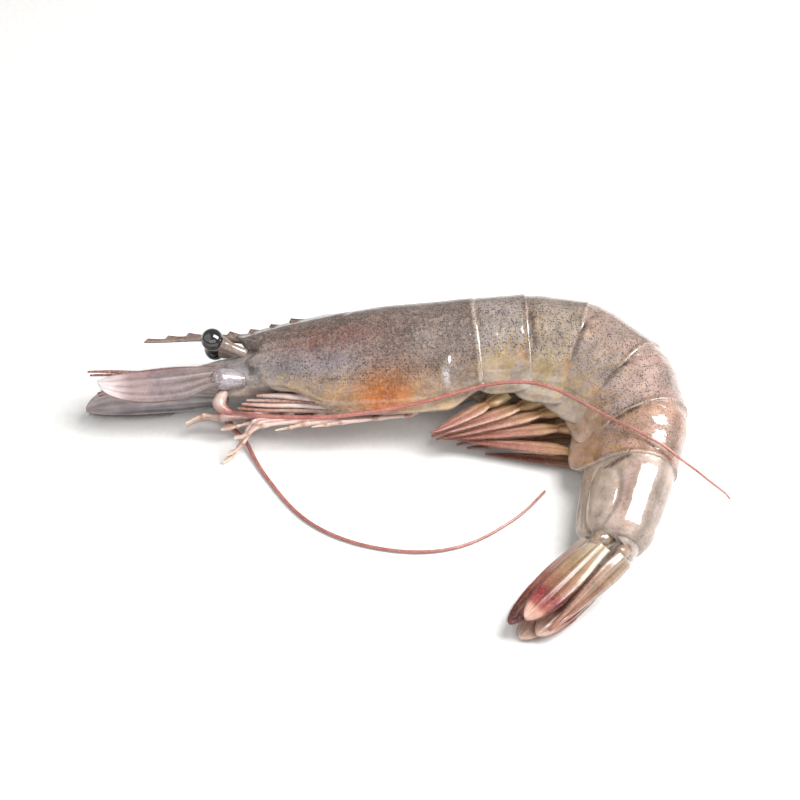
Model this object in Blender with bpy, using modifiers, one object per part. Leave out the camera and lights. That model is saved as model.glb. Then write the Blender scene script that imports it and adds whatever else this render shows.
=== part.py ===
"""A whole raw prawn, shell on, lying on its right side with its tail curled towards its belly.

Metres, +Z up, the table is z = 0. The head points to -X, the back to +Y, and the left side faces up.
The body is a chain of stiff stretches: the carapace, six rings and the tail fan. A place on one of
them is (along, left, dorsal): towards the tail, towards the animal's left, and towards its back.
"""

import math

import bmesh
import bpy
from mathutils import Vector
from mathutils.bvhtree import BVHTree

MM = 0.001

# The chain of stretches, from the eye socket to the tail: lengths, headings and rolls of each one.
SOCKET_PLACE = (-30.2 * MM, 22.05 * MM)
LENGTHS = [length * MM for length in (45, 9.8, 10.8, 11.6, 10.2, 10.0, 15.8, 24)]
HEADINGS_DEG = (5, 3, -12, -46, -78, -102, -106, -136)
ROLLS_DEG = (32, 33, 37, 42, 45, 46, 46, 32)
JOINT_HEIGHTS = [height * MM for height in (9.6, 11.2, 11.5, 11.7, 11.6, 10.8, 9.4, 6.8, 2.4)]

# Each stretch's half width, and height of its back over the midline, at its front and at its rear.
RING_WIDTHS = [width * MM for width in (8.4, 8.5, 8.3, 8.0, 7.4, 6.8, 5.6)]
RING_BACKS = [back * MM for back in (10.2, 10.4, 10.4, 10.2, 9.6, 8.8, 6.8)]
CARAPACE_STATIONS = 15
HEAD_WIDTH = 5.0 * MM
HEAD_BACK = 5.6 * MM
HEAD_TAPER = 0.62

# Shell plates
ARCH_POWER = 2.3
ARCH_STEPS = 16
SIDE_STEPS = 4
BELLY_SHARE = 0.74
RING_LOBES = [lobe * MM for lobe in (2.2, 3.2, 3.6, 3.6, 5.0, 0.7)]
# The shield's side plate hangs free on the left, and is pressed short against the table on the right.
CARAPACE_LOBE = 4.8 * MM
PRESSED_LOBE = 2.2 * MM
LOBE_START = 3.0 * MM
LOBE_RISE = 15.0 * MM
LOBE_THICKNESS = 0.9 * MM
EDGE_TUCK = 0.13
FLARE = 0.3 * MM
SINK = 0.55 * MM
FRONT_LAP = 1.0 * MM
REAR_TUCK = 34 * MM
RING_STATIONS = (0, 0.05, 0.16, 0.34, 0.55, 0.75, 0.9, 1)
FACET_STEP_DEG = 9

# Rostrum: the toothed spike over the head
ROSTRUM_ROOT = 13 * MM
ROSTRUM_TIP = -19 * MM
ROSTRUM_RISE = 7.0 * MM
ROSTRUM_DEPTH = 1.5 * MM
ROSTRUM_THICKNESS = 1.0 * MM
ROSTRUM_TEETH = 8
TOOTH_HEIGHT = 0.95 * MM

# Eyes on stalks
EYE_PLACE = (-5.5 * MM, 4.6 * MM, 5.8 * MM)
STALK_ROOT = (0.5 * MM, 1.6 * MM, 3.0 * MM)
EYE_RADIUS = 2.2 * MM
STALK_RADIUS = 1.1 * MM

# Antennal scales, antennules and antennae
SCALE_ROOT = -5.0 * MM
SCALE_TIP = -28.0 * MM
SCALE_OUT = 5.0 * MM
SCALE_RISE = -2.0 * MM
RIGHT_SCALE_DROP = 1.0 * MM
SCALE_HALF_WIDTH = 3.5 * MM
SCALE_THICKNESS = 0.6 * MM
WHIP_RADII = (0.55 * MM, 0.3 * MM)
# Plan of the whip laid over the body, and of the one on the table, from the eye socket.
WHIP_OVER_BODY = (
    (2.7, -13.2, 11.5), (9.5, -13.9, 11.8), (16.4, -14.0, 12.0), (23.3, -13.2, 12.2),
    (30.1, -12.0, 12.6), (36, -10.8, 13.2), (42, -9.2, 14.0), (48.5, -8.0, 14.8),
    (55, -8.2, 15.2), (60.3, -10.6, 15.4), (66, -15.6, 15.8), (71, -21.2, 17.0),
    (76, -25.6, 17.6), (82, -28.0, 15.5), (87.5, -28.8, 10.5), (91.5, -28.6, 5.6),
)
WHIP_ON_TABLE = (
    (0.3, -10.6, 1.0), (3.7, -17.6, 0.5), (11.3, -28.5, 0.5), (20.8, -34.7, 0.5),
    (32.9, -37.2, 0.5), (43.1, -35.2, 0.5), (52.2, -28.9, 0.5), (57.6, -22.6, 0.5),
)

# Walking legs: the place of each pair along the carapace, the lane of each leg under the belly
LEG_PLACES = [place * MM for place in (10, 16, 22, 28, 34)]
LEFT_LANES = [lane * MM for lane in (1.0, 2.05, 3.1, 4.15, 5.2)]
RIGHT_LANES = [lane * MM for lane in (-0.2, -1.4, -2.55, -3.7, -4.9)]
LEFT_DEPTHS = [depth * MM for depth in (10.1, 10.7, 11.3, 11.9, 12.4)]
RIGHT_DEPTHS = [depth * MM for depth in (9.9, 9.8, 9.7, 9.6, 9.5)]
LEG_RADIUS = 0.45 * MM

# Swimming legs: where the tip of each paddle lies, from the eye socket
LEFT_PADDLE_TIPS = (
    (36, -15.4, 8.8),
    (36, -15.0, 7.5),
    (37, -14.6, 6.2),
    (38.5, -13.6, 5.1),
    (41, -12.8, 4.1),
)
RIGHT_PADDLE_TIPS = (
    (36.5, -11.2, 3.7),
    (38.5, -11.6, 2.9),
    (41, -12.4, 2.1),
    (43, -12.6, 1.4),
    (46.5, -13.6, 0.8),
)

# Tail fan
TELSON_LENGTH = 21 * MM
TELSON_HALF_WIDTH = 2.3 * MM
PADDLE_LENGTHS = (22.5 * MM, 24.6 * MM)
PADDLE_HALF_WIDTHS = (2.9 * MM, 3.1 * MM)
FAN_THICKNESS = 0.7 * MM

# The round end of the last ring, seen over the root of the tail fan, starts inside that ring.
LAST_FACET_INSET = 1.3 * MM
LAST_FACET_SINK = 1.5 * MM

# Pieces that meet keep this gap, and points of a joined body closer than the weld are one.
GAP = 0.3 * MM
WELD = 0.02 * MM

GREY_SHELL = ((0.42, 0.37, 0.33), 0.35)
BLACK_EYE = ((0.01, 0.01, 0.012), 0.15)
PINK_LEG = ((0.62, 0.42, 0.38), 0.4)
RED_WHIP = ((0.42, 0.12, 0.10), 0.4)
DULL_SCALE = ((0.36, 0.31, 0.30), 0.35)
TAN_PADDLE = ((0.45, 0.30, 0.22), 0.4)
RED_TAIL = ((0.33, 0.17, 0.13), 0.35)


def clear_scene():
    for thing in list(bpy.data.objects):
        bpy.data.objects.remove(thing)


def material(name, look):
    """A Principled material of that colour and roughness."""
    made = bpy.data.materials.get(name) or bpy.data.materials.new(name)
    made.use_nodes = True
    shader = made.node_tree.nodes["Principled BSDF"]
    colour, roughness = look
    shader.inputs["Base Color"].default_value = (*colour, 1)
    shader.inputs["Roughness"].default_value = roughness
    return made


def finish(name, mesh, look, collection=None):
    """Turn a mesh into a named object with its own material."""
    thing = bpy.data.objects.new(name, mesh)
    (collection or bpy.context.scene.collection).objects.link(thing)
    if look:
        mesh.materials.clear()
        mesh.materials.append(material(name + "_finish", look))
    return thing


def loft(name, rows, look=None, collection=None):
    """A closed body through rows of as many points each, with a flat face at both ends."""
    build = bmesh.new()
    made = [[build.verts.new(place) for place in row] for row in rows]
    count = len(rows[0])
    for one, two in zip(made, made[1:]):
        for i in range(count):
            j = (i + 1) % count
            build.faces.new((one[i], one[j], two[j], two[i]))
    build.faces.new(made[0])
    build.faces.new(made[-1])
    bmesh.ops.recalc_face_normals(build, faces=build.faces)
    mesh = bpy.data.meshes.new(name)
    build.to_mesh(mesh)
    build.free()
    return finish(name, mesh, look, collection)


def mix(a, b, t):
    return a + (b - a) * t


def smooth(t):
    t = min(1.0, max(0.0, t))
    return t * t * (3 - 2 * t)


def chain_points():
    """Joints of the midline, from the eye socket to the tip of the tail."""
    x, y = SOCKET_PLACE
    points = [Vector((x, y, JOINT_HEIGHTS[0]))]
    for length, heading, height in zip(LENGTHS, HEADINGS_DEG, JOINT_HEIGHTS[1:]):
        x += length * math.cos(math.radians(heading))
        y += length * math.sin(math.radians(heading))
        points.append(Vector((x, y, height)))
    return points


CHAIN = chain_points()


def frame(index):
    """Origin and axes (tailward, left, dorsal) of a stretch: 0 is the carapace, 1 to 6 the rings."""
    origin = CHAIN[index]
    tailward = (CHAIN[index + 1] - origin).normalized()
    outward = Vector((0, 0, 1)).cross(tailward).normalized()
    upward = tailward.cross(outward)
    turn = math.radians(ROLLS_DEG[index])
    left = upward * math.cos(turn) - outward * math.sin(turn)
    dorsal = outward * math.cos(turn) + upward * math.sin(turn)
    return origin, tailward, left, dorsal


def place(stretch, along, left, dorsal):
    origin, tailward, leftward, backward = stretch
    return origin + tailward * along + leftward * left + backward * dorsal


def beside(stretch, along, outward, height):
    """A place at a height over the table and a level distance from the midline, the back's side being
    positive."""
    origin, tailward = stretch[:2]
    level = Vector((-tailward.y, tailward.x, 0)).normalized()
    spot = origin + tailward * along + level * outward
    spot.z = height
    return spot


def half_arch(width, back, steps):
    """Points over the back, from the left side to the right one."""
    points = []
    for i in range(steps + 1):
        angle = math.pi * i / steps
        side = math.copysign(abs(math.cos(angle)) ** (2 / ARCH_POWER), math.cos(angle))
        points.append((width * side, back * math.sin(angle) ** (2 / ARCH_POWER)))
    points[0] = (width, 0)
    points[-1] = (-width, 0)
    return points


def plate_section(width, back, hang, right_hang=None):
    """Section of a plate with the flesh in it: over the back, and along the belly between the edges."""
    belly = back * BELLY_SHARE
    depth = belly + hang
    right_hang = hang if right_hang is None else right_hang
    right_depth = belly + right_hang
    left_side, right_side = [], []
    for i in range(1, SIDE_STEPS + 1):
        t = i / SIDE_STEPS
        left_side.insert(0, (width * (1 - EDGE_TUCK * t * t), -depth * t))
        right_side.append((-width * (1 - EDGE_TUCK * t * t), -right_depth * t))
    inner = width * (1 - EDGE_TUCK) - LOBE_THICKNESS
    underside = [
        (-inner, -right_depth + right_hang * 0.12),
        (-inner + 0.3 * MM, -belly),
        (-inner * 0.45, -belly - 0.5 * MM),
        (inner * 0.45, -belly - 0.5 * MM),
        (inner - 0.3 * MM, -belly),
        (inner, -depth + hang * 0.12),
    ]
    return left_side + half_arch(width, back, ARCH_STEPS) + right_side + underside


def lobe_shape(t):
    """How far a ring's side plate hangs, from its front to its rear, as a share of its lobe."""
    return 0.12 + 0.88 * (1 - abs(2 * t - 1) ** 3) ** 0.5


def ring_swell(t):
    """The front of a ring is sunk under the one before it, and its rear rim stands over the next."""
    return mix(-SINK, 0, smooth(t / 0.22)) + FLARE * smooth((t - 0.72) / 0.28)


def ring_body(index, collection):
    """One ring of the abdomen."""
    stretch = frame(index)
    length = LENGTHS[index]
    rows = []
    for t in RING_STATIONS:
        swell = ring_swell(t) if index < 6 else ring_swell(min(t, 0.7)) - REAR_TUCK * max(0, t - 0.82) ** 2
        width = mix(RING_WIDTHS[index - 1], RING_WIDTHS[index], t) + swell
        back = mix(RING_BACKS[index - 1], RING_BACKS[index], t) + swell
        hang = RING_LOBES[index - 1] * lobe_shape(t)
        along = mix(-FRONT_LAP, length, t)
        rows.append([place(stretch, along, *point) for point in plate_section(width, back, hang)])
    return loft("ring_%d" % index, rows, None, collection)


def facet(index, collection):
    """The smooth front of a ring that shows in a bend: an arch swept about the hinge of the joint."""
    before = frame(index - 1)
    after = frame(index)
    last_one = index == len(RING_WIDTHS)
    hinge = CHAIN[index] - before[1] * (LAST_FACET_INSET if last_one else 0)
    width = RING_WIDTHS[index - 1] - (LAST_FACET_SINK if last_one else SINK)
    back = RING_BACKS[index - 1] - (LAST_FACET_SINK if last_one else SINK)
    turn = abs(HEADINGS_DEG[index] - HEADINGS_DEG[index - 1])
    steps = max(3, round((turn + 24) / FACET_STEP_DEG))
    arch = half_arch(width, back, ARCH_STEPS)
    build = bmesh.new()
    ends = [build.verts.new(hinge + after[2] * width), build.verts.new(hinge - after[2] * width)]
    rows = []
    for step in range(steps + 1):
        t = step / steps
        swing = math.radians(mix(12, -12, t))
        backward = (before[3] * (1 - t) + after[3] * t).normalized()
        tailward = (before[1] * (1 - t) + after[1] * t).normalized()
        leftward = (before[2] * (1 - t) + after[2] * t).normalized()
        spoke = backward * math.cos(swing) - tailward * math.sin(swing)
        rows.append([build.verts.new(hinge + leftward * a + spoke * b) for a, b in arch[1:-1]])
    for one, two in zip(rows, rows[1:]):
        build.faces.new((ends[0], one[0], two[0]))
        build.faces.new((ends[1], one[-1], two[-1]))
        for i in range(len(one) - 1):
            build.faces.new((one[i], one[i + 1], two[i + 1], two[i]))
    build.faces.new([ends[0], *rows[0], ends[1]])
    build.faces.new([ends[0], *rows[-1], ends[1]])
    bmesh.ops.recalc_face_normals(build, faces=build.faces)
    mesh = bpy.data.meshes.new("facet_%d" % index)
    build.to_mesh(mesh)
    build.free()
    return finish("facet_%d" % index, mesh, None, collection)


def carapace_sizes(s):
    """Half width and height of the back at s from the eye socket."""
    t = max(0.0, min(1.0, s / LENGTHS[0]))
    full = math.sin(math.pi / 2 * min(1.0, t / 0.72)) ** HEAD_TAPER
    return mix(HEAD_WIDTH, RING_WIDTHS[0], full), mix(HEAD_BACK, RING_BACKS[0], full)


def belly_depth(s):
    """Depth of the carapace's belly under the midline."""
    return carapace_sizes(s)[1] * BELLY_SHARE + 0.5 * MM


def carapace_body(collection):
    """The shield over the head and breast, open to the first ring behind."""
    stretch = frame(0)
    rows = []
    for step in range(CARAPACE_STATIONS + 1):
        t = (step / CARAPACE_STATIONS) ** 1.25
        s = mix(1.5 * MM, LENGTHS[0] + 0.4 * MM, t)
        width, back = carapace_sizes(s)
        swell = FLARE * smooth((t - 0.93) / 0.07)
        rear = 1 - 0.7 * smooth((t - 0.8) / 0.2)
        hang = CARAPACE_LOBE * max(0.12, smooth((s - LOBE_START) / LOBE_RISE)) * rear
        right_hang = PRESSED_LOBE * smooth(t / 0.15) * rear
        section = plate_section(width + swell, back + swell, hang, right_hang)
        rows.append([place(stretch, s, *point) for point in section])
    return loft("carapace", rows, None, collection)


def head_body(collection):
    """The front of the head, between the limbs, narrowing forward."""
    stretch = frame(0)
    rows = []
    for step in range(7):
        t = step / 6
        s = mix(6 * MM, -9 * MM, t)
        width = mix(4.6 * MM, 2.2 * MM, t**1.6)
        back = mix(4.6 * MM, 2.6 * MM, t**1.6)
        row = []
        for i in range(16):
            angle = 2 * math.pi * i / 16
            side = width * math.cos(angle)
            up = back * math.sin(angle) - 0.8 * MM
            row.append(place(stretch, s, side, up))
        rows.append(row)
    return loft("head_front", rows, None, collection)


def rostrum_body(collection):
    """The toothed spike: thin at its edges, thickest along its rib."""
    stretch = frame(0)
    rows = []
    steps = ROSTRUM_TEETH * 3
    for step in range(steps + 1):
        t = step / steps
        s = mix(ROSTRUM_ROOT, ROSTRUM_TIP, t)
        body_back = carapace_sizes(max(0, s))[1]
        rib = mix(body_back - 0.6 * MM, ROSTRUM_RISE + 0.4 * MM, smooth(t * 1.35))
        deep = ROSTRUM_DEPTH * (1 - t) ** 0.6 + 0.15 * MM
        tooth = TOOTH_HEIGHT * (0, 0.45, 1)[step % 3] * (1 - 0.45 * t)
        if step in (0, steps):
            tooth = 0
        thick = (ROSTRUM_THICKNESS * (1 - 0.75 * t)) / 2
        under = deep * 0.8
        rows.append(
            [
                place(stretch, s, 0.1 * MM, rib + deep * 0.6 + tooth),
                place(stretch, s, thick, rib),
                place(stretch, s, 0.1 * MM, rib - under),
                place(stretch, s, -0.1 * MM, rib - under),
                place(stretch, s, -thick, rib),
                place(stretch, s, -0.1 * MM, rib + deep * 0.6 + tooth),
            ]
        )
    return loft("rostrum", rows, None, collection)


def rod(name, knots, steps, look=None, collection=None, sides=1):
    """A round limb through knots of (place, radius), smoothed between them."""
    line = smooth_line([Vector(spot) for spot, _ in knots], [size for _, size in knots], steps)
    data = bpy.data.curves.new(name + "_line", "CURVE")
    data.dimensions = "3D"
    data.bevel_depth = 1
    data.bevel_resolution = sides
    data.use_fill_caps = True
    spline = data.splines.new("POLY")
    spline.points.add(len(line) - 1)
    for point, (spot, size) in zip(spline.points, line):
        point.co = (*spot, 1)
        point.radius = size
    guide = bpy.data.objects.new(name + "_line", data)
    bpy.context.scene.collection.objects.link(guide)
    bpy.context.view_layer.update()
    shape = guide.evaluated_get(bpy.context.evaluated_depsgraph_get())
    mesh = bpy.data.meshes.new_from_object(shape)
    bpy.data.objects.remove(guide)
    build = bmesh.new()
    build.from_mesh(mesh)
    bmesh.ops.remove_doubles(build, verts=build.verts, dist=1e-7)
    bmesh.ops.recalc_face_normals(build, faces=build.faces)
    build.to_mesh(mesh)
    build.free()
    mesh.name = name
    return finish(name, mesh, look, collection)


def smooth_line(spots, sizes, steps):
    """Points and radii of a Catmull-Rom line through the spots."""
    line = []
    for i in range(len(spots) - 1):
        before = spots[max(0, i - 1)]
        start, end = spots[i], spots[i + 1]
        after = spots[min(len(spots) - 1, i + 2)]
        for step in range(steps):
            t = step / steps
            a = (end - before) * 0.5
            b = (after - start) * 0.5
            spot = (
                start * (2 * t**3 - 3 * t**2 + 1)
                + a * (t**3 - 2 * t**2 + t)
                + end * (3 * t**2 - 2 * t**3)
                + b * (t**3 - t**2)
            )
            line.append((spot, mix(sizes[i], sizes[i + 1], t)))
    line.append((spots[-1], sizes[-1]))
    return line


def leaf(name, centres, acrosses, halves, thickness, look, crown=0.0):
    """A thin blade: a grid over its middle line and its two edges, made solid both ways."""
    build = bmesh.new()
    rows = []
    for centre, across, half in zip(centres, acrosses, halves):
        row = []
        for share in (-1, -0.5, 0, 0.5, 1):
            rise = across[1] * crown * half * (1 - share * share)
            row.append(build.verts.new(centre + across[0] * half * share + rise))
        rows.append(row)
    for one, two in zip(rows, rows[1:]):
        for i in range(4):
            build.faces.new((one[i], one[i + 1], two[i + 1], two[i]))
    bmesh.ops.recalc_face_normals(build, faces=build.faces)
    mesh = bpy.data.meshes.new(name)
    build.to_mesh(mesh)
    build.free()
    thing = finish(name, mesh, look)
    solid = thing.modifiers.new("thickness", "SOLIDIFY")
    solid.thickness = thickness
    solid.offset = 0
    solid.use_even_offset = False
    return thing


def leaf_shape(t, root, full, sharp):
    """Half width of a blade from its root (t = 0) to its rounded tip (t = 1)."""
    body = mix(root, 1, smooth(t / full)) if t < full else 1
    end = (1 - ((t - sharp) / (1 - sharp)) ** 2) ** 0.5 if t > sharp else 1
    return max(0.14, body * end)


def ball(name, centre, radius, look=None, collection=None):
    """A round body about a centre."""
    build = bmesh.new()
    bmesh.ops.create_uvsphere(build, u_segments=16, v_segments=10, radius=1)
    for vertex in build.verts:
        vertex.co = centre + vertex.co * radius
    bmesh.ops.recalc_face_normals(build, faces=build.faces)
    mesh = bpy.data.meshes.new(name)
    build.to_mesh(mesh)
    build.free()
    return finish(name, mesh, look, collection)


def unite(base, collection, kind="UNION"):
    """Apply one Boolean with everything in the collection, then drop what it held."""
    join = base.modifiers.new("join", "BOOLEAN")
    join.operation = kind
    join.operand_type = "COLLECTION"
    join.collection = collection
    join.solver = "MANIFOLD"
    bpy.context.view_layer.update()
    shape = base.evaluated_get(bpy.context.evaluated_depsgraph_get())
    mesh = bpy.data.meshes.new_from_object(shape)
    base.modifiers.clear()
    build = bmesh.new()
    build.from_mesh(mesh)
    bmesh.ops.remove_doubles(build, verts=build.verts, dist=WELD)
    bmesh.ops.dissolve_degenerate(build, edges=build.edges, dist=WELD)
    bmesh.ops.triangulate(build, faces=build.faces)
    build.to_mesh(mesh)
    build.free()
    base.data = mesh
    for thing in list(collection.objects):
        bpy.data.objects.remove(thing)
    bpy.data.collections.remove(collection)


def side_name(side):
    return "left" if side > 0 else "right"


def trunk():
    """Carapace, rostrum, head, eye stalks and the six rings as one solid, flat where it lies."""
    parts = bpy.data.collections.new("trunk_parts")
    bpy.context.scene.collection.children.link(parts)
    base = carapace_body(None)
    base.name = "trunk"
    head_body(parts)
    rostrum_body(parts)
    for index in range(1, 7):
        ring_body(index, parts)
        facet(index, parts)
    stretch = frame(0)
    for side in (1, -1):
        root = place(stretch, STALK_ROOT[0], side * STALK_ROOT[1], STALK_ROOT[2])
        eye = place(stretch, EYE_PLACE[0], side * EYE_PLACE[1], EYE_PLACE[2])
        short = eye + (root - eye).normalized() * (EYE_RADIUS + GAP * 0.6)
        rod("stalk_" + side_name(side), [(root, STALK_RADIUS), (short, STALK_RADIUS)], 2, None, parts)
        stub = [(STALK_ROOT[0] - 1.5 * MM, 2.2 * MM), (SCALE_ROOT + 0.4 * MM, SCALE_OUT - 0.6 * MM)]
        ends = [place(stretch, along, side * out, SCALE_RISE) for along, out in stub]
        rod("scale_base_" + side_name(side), [(ends[0], 1.5 * MM), (ends[1], 1.3 * MM)], 2, None, parts)
    last = frame(7)
    facet(7, parts)
    ends = (place(last, 1.9 * MM, 3.3 * MM, 0.5 * MM), beside(last, 2.1 * MM, 0.2 * MM, 3.2 * MM))
    for side, end in zip((1, -1), ends):
        root = place(last, -1.8 * MM, side * 2.0 * MM, 0)
        rod("fan_base_" + side_name(side), [(root, 2.2 * MM), (end, 1.8 * MM)], 2, None, parts)
    unite(base, parts)
    table = bpy.data.collections.new("table_cut")
    bpy.context.scene.collection.children.link(table)
    build = bmesh.new()
    bmesh.ops.create_cube(build, size=1)
    for vertex in build.verts:
        vertex.co = Vector((vertex.co.x * 0.3, vertex.co.y * 0.3, vertex.co.z * 0.02 - 0.01))
    mesh = bpy.data.meshes.new("table_block")
    build.to_mesh(mesh)
    build.free()
    block = finish("table_block", mesh, None, table)
    block.display_type = "WIRE"
    unite(base, table, "DIFFERENCE")
    base.data.name = "trunk"
    base.data.materials.clear()
    base.data.materials.append(material("trunk_finish", GREY_SHELL))
    for polygon in base.data.polygons:
        polygon.material_index = 0
    return base


def from_socket(spot):
    """A place given in millimetres from the eye socket, its height taken from the table."""
    return Vector((SOCKET_PLACE[0] + spot[0] * MM, SOCKET_PLACE[1] + spot[1] * MM, spot[2] * MM))


def eyes():
    for side in (1, -1):
        centre = place(frame(0), EYE_PLACE[0], side * EYE_PLACE[1], EYE_PLACE[2])
        ball("eye_" + side_name(side), centre, EYE_RADIUS, BLACK_EYE)


def antennal_scales():
    """Broad thin blades beside the head, straight along their outer edge, rounded at the tip."""
    stretch = frame(0)
    for side in (1, -1):
        centres, acrosses, halves = [], [], []
        for step in range(15):
            t = step / 14
            half = SCALE_HALF_WIDTH * leaf_shape(t, 0.62, 0.35, 0.5)
            lean = SCALE_HALF_WIDTH * 0.9 - half
            along = mix(SCALE_ROOT, SCALE_TIP, t)
            if side < 0:
                along -= 3.5 * MM * t
            rise = SCALE_RISE + (lean if side > 0 else -lean) * 0.55 + (0 if side > 0 else 0.4 * MM * t - RIGHT_SCALE_DROP)
            centres.append(place(stretch, along, side * (SCALE_OUT - 0.9 * MM * t), rise))
            tilt = math.radians(12)
            across = stretch[3] * math.cos(tilt) - stretch[2] * side * math.sin(tilt)
            acrosses.append((across, stretch[2] * side))
            halves.append(half)
        name = "antennal_scale_" + side_name(side)
        leaf(name, centres, acrosses, halves, SCALE_THICKNESS, DULL_SCALE, 0.16)


def antennules():
    """Jointed stems in front of the head, each with two short whips."""
    stretch = frame(0)
    for side in (1, -1):
        name = "antennule_" + side_name(side)
        stem = [
            (place(stretch, -9.4 * MM, side * 1.3 * MM, 0.4 * MM), 0.85 * MM),
            (place(stretch, -13.0 * MM, side * 1.5 * MM, 0.8 * MM), 0.95 * MM),
            (place(stretch, -17.0 * MM, side * 1.5 * MM, 1.0 * MM), 0.75 * MM),
            (place(stretch, -20.0 * MM, side * 1.5 * MM, 1.0 * MM), 0.6 * MM),
            (place(stretch, -25.0 * MM, side * 1.7 * MM, 1.8 * MM), 0.3 * MM),
            (place(stretch, -30.0 * MM, side * 1.9 * MM, 2.2 * MM), 0.2 * MM),
        ]
        base = rod(name, stem, 3, PINK_LEG)
        whips = bpy.data.collections.new(name + "_parts")
        bpy.context.scene.collection.children.link(whips)
        lower = [
            (place(stretch, -19.0 * MM, side * 1.5 * MM, 0.8 * MM), 0.4 * MM),
            (place(stretch, -24.0 * MM, side * 1.5 * MM, -0.9 * MM), 0.3 * MM),
            (place(stretch, -28.5 * MM, side * 1.4 * MM, -2.2 * MM), 0.2 * MM),
        ]
        rod(name + "_lower", lower, 3, None, whips)
        unite(base, whips)
        for polygon in base.data.polygons:
            polygon.material_index = 0


def body_shape(thing):
    return BVHTree.FromObject(thing, bpy.context.evaluated_depsgraph_get())


def drape(line, shape, lift):
    """Raise the points of a line that are under the body's surface, or too close over it."""
    raised = []
    for spot, size in line:
        top = 0.0
        for i in range(9):
            reach = 0 if i == 8 else lift
            angle = math.pi / 4 * i
            above = Vector((spot.x + reach * math.cos(angle), spot.y + reach * math.sin(angle), 0.05))
            hit = shape.ray_cast(above, Vector((0, 0, -1)))[0]
            if hit and spot.z > hit.z - 6 * MM:
                top = max(top, hit.z + lift)
        raised.append([spot, size, max(spot.z, top)])
    for _ in range(6):
        heights = [entry[2] for entry in raised]
        for i in range(1, len(raised) - 1):
            raised[i][2] = max(heights[i], (heights[i - 1] + heights[i + 1]) / 2 - 0.02 * MM)
    return [(Vector((spot.x, spot.y, height)), size) for spot, size, height in raised]


def antennae(body):
    """The long whips: the left one lies over the body, the right one on the table."""
    stretch = frame(0)
    shape = body_shape(body)
    for side, plan in ((1, WHIP_OVER_BODY), (-1, WHIP_ON_TABLE)):
        stem = [
            (place(stretch, -4.2 * MM, side * 2.4 * MM, -4.1 * MM), 0.9 * MM),
            (place(stretch, -5.2 * MM, side * 3.2 * MM, -6.2 * MM), 1.35 * MM),
            (place(stretch, -4.6 * MM, side * 3.6 * MM, -7.6 * MM), 1.0 * MM),
            (place(stretch, -2.6 * MM, side * 4.2 * MM, -8.8 * MM), 0.6 * MM),
        ]
        if side < 0:
            stem[3] = (from_socket((-2.4, -7.4, 1.3)), 0.6 * MM)
        count = len(plan)
        knots = stem + [
            (from_socket(spot), mix(*WHIP_RADII, (i + 1) / count)) for i, spot in enumerate(plan)
        ]
        line = smooth_line([spot for spot, _ in knots], [size for _, size in knots], 3)
        if side > 0:
            line = line[:9] + drape(line[9:], shape, 0.95 * MM)
        rod("antenna_" + side_name(side), line, 1, RED_WHIP)


def maxillipeds():
    """Leg-like mouth limbs that reach forward under the head."""
    stretch = frame(0)
    for side in (1, -1):
        knots = [
            (place(stretch, 7.0 * MM, side * 1.5 * MM, -belly_depth(7.0 * MM) - 0.9 * MM), 0.5 * MM),
            (place(stretch, 2.0 * MM, side * 1.5 * MM, -8.8 * MM), 0.55 * MM),
            (place(stretch, -5.0 * MM, side * 1.3 * MM, -8.7 * MM), 0.52 * MM),
            (place(stretch, -8.5 * MM, side * 1.2 * MM, -8.3 * MM), 0.45 * MM),
            (place(stretch, -12.0 * MM, side * 1.1 * MM, -9.4 * MM), 0.22 * MM),
        ]
        rod("maxilliped_" + side_name(side), knots, 3, PINK_LEG)


def walking_legs():
    """Five pairs, swept forward side by side under the belly. The first three end in small pincers."""
    stretch = frame(0)
    for side in (1, -1):
        lanes = LEFT_LANES if side > 0 else RIGHT_LANES
        depths = LEFT_DEPTHS if side > 0 else RIGHT_DEPTHS
        for pair in range(5):
            root, lane, depth = LEG_PLACES[pair], lanes[pair], depths[pair]
            reach = (root - 1 * MM, root - 2 * MM, (19 if side > 0 else 17) * MM, 17 * MM, 16 * MM)[pair]
            drop = ((7.6, 5.8, 2.3, 1.0, 0.6) if side > 0 else (1.2, 0.6, 0.1, -0.2, -0.3))[pair] * MM
            beyond = (6.5, 6.5, 6.0, 6.0, 6.0)[pair] * MM
            places = [
                (root, lane, -belly_depth(root) - GAP, 0.95),
                (root - 2.0 * MM, lane, -depth + 0.5 * MM, 1.0),
                (root - reach * 0.55, lane, -depth, 0.9),
                (root - reach, lane, -depth - 0.2 * MM, 0.92),
                (root - reach - beyond * 0.5, lane, -depth - drop * 0.62, 0.72),
            ]
            if pair < 3:
                places.append((root - reach - beyond * 0.72, lane, -depth - drop * 0.85, 0.9))
                places.append((root - reach - beyond, lane, -depth - drop, 0.34))
            else:
                places.append((root - reach - beyond, lane, -depth - drop * 0.9, 0.36))
            knots = []
            for along, left, dorsal, share in places:
                spot = place(stretch, along, left, dorsal)
                size = LEG_RADIUS * share
                spot.z = max(spot.z, size + 0.05 * MM)
                knots.append((spot, size))
            rod("leg_%d_%s" % (pair + 1, side_name(side)), knots, 2, PINK_LEG)


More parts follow.
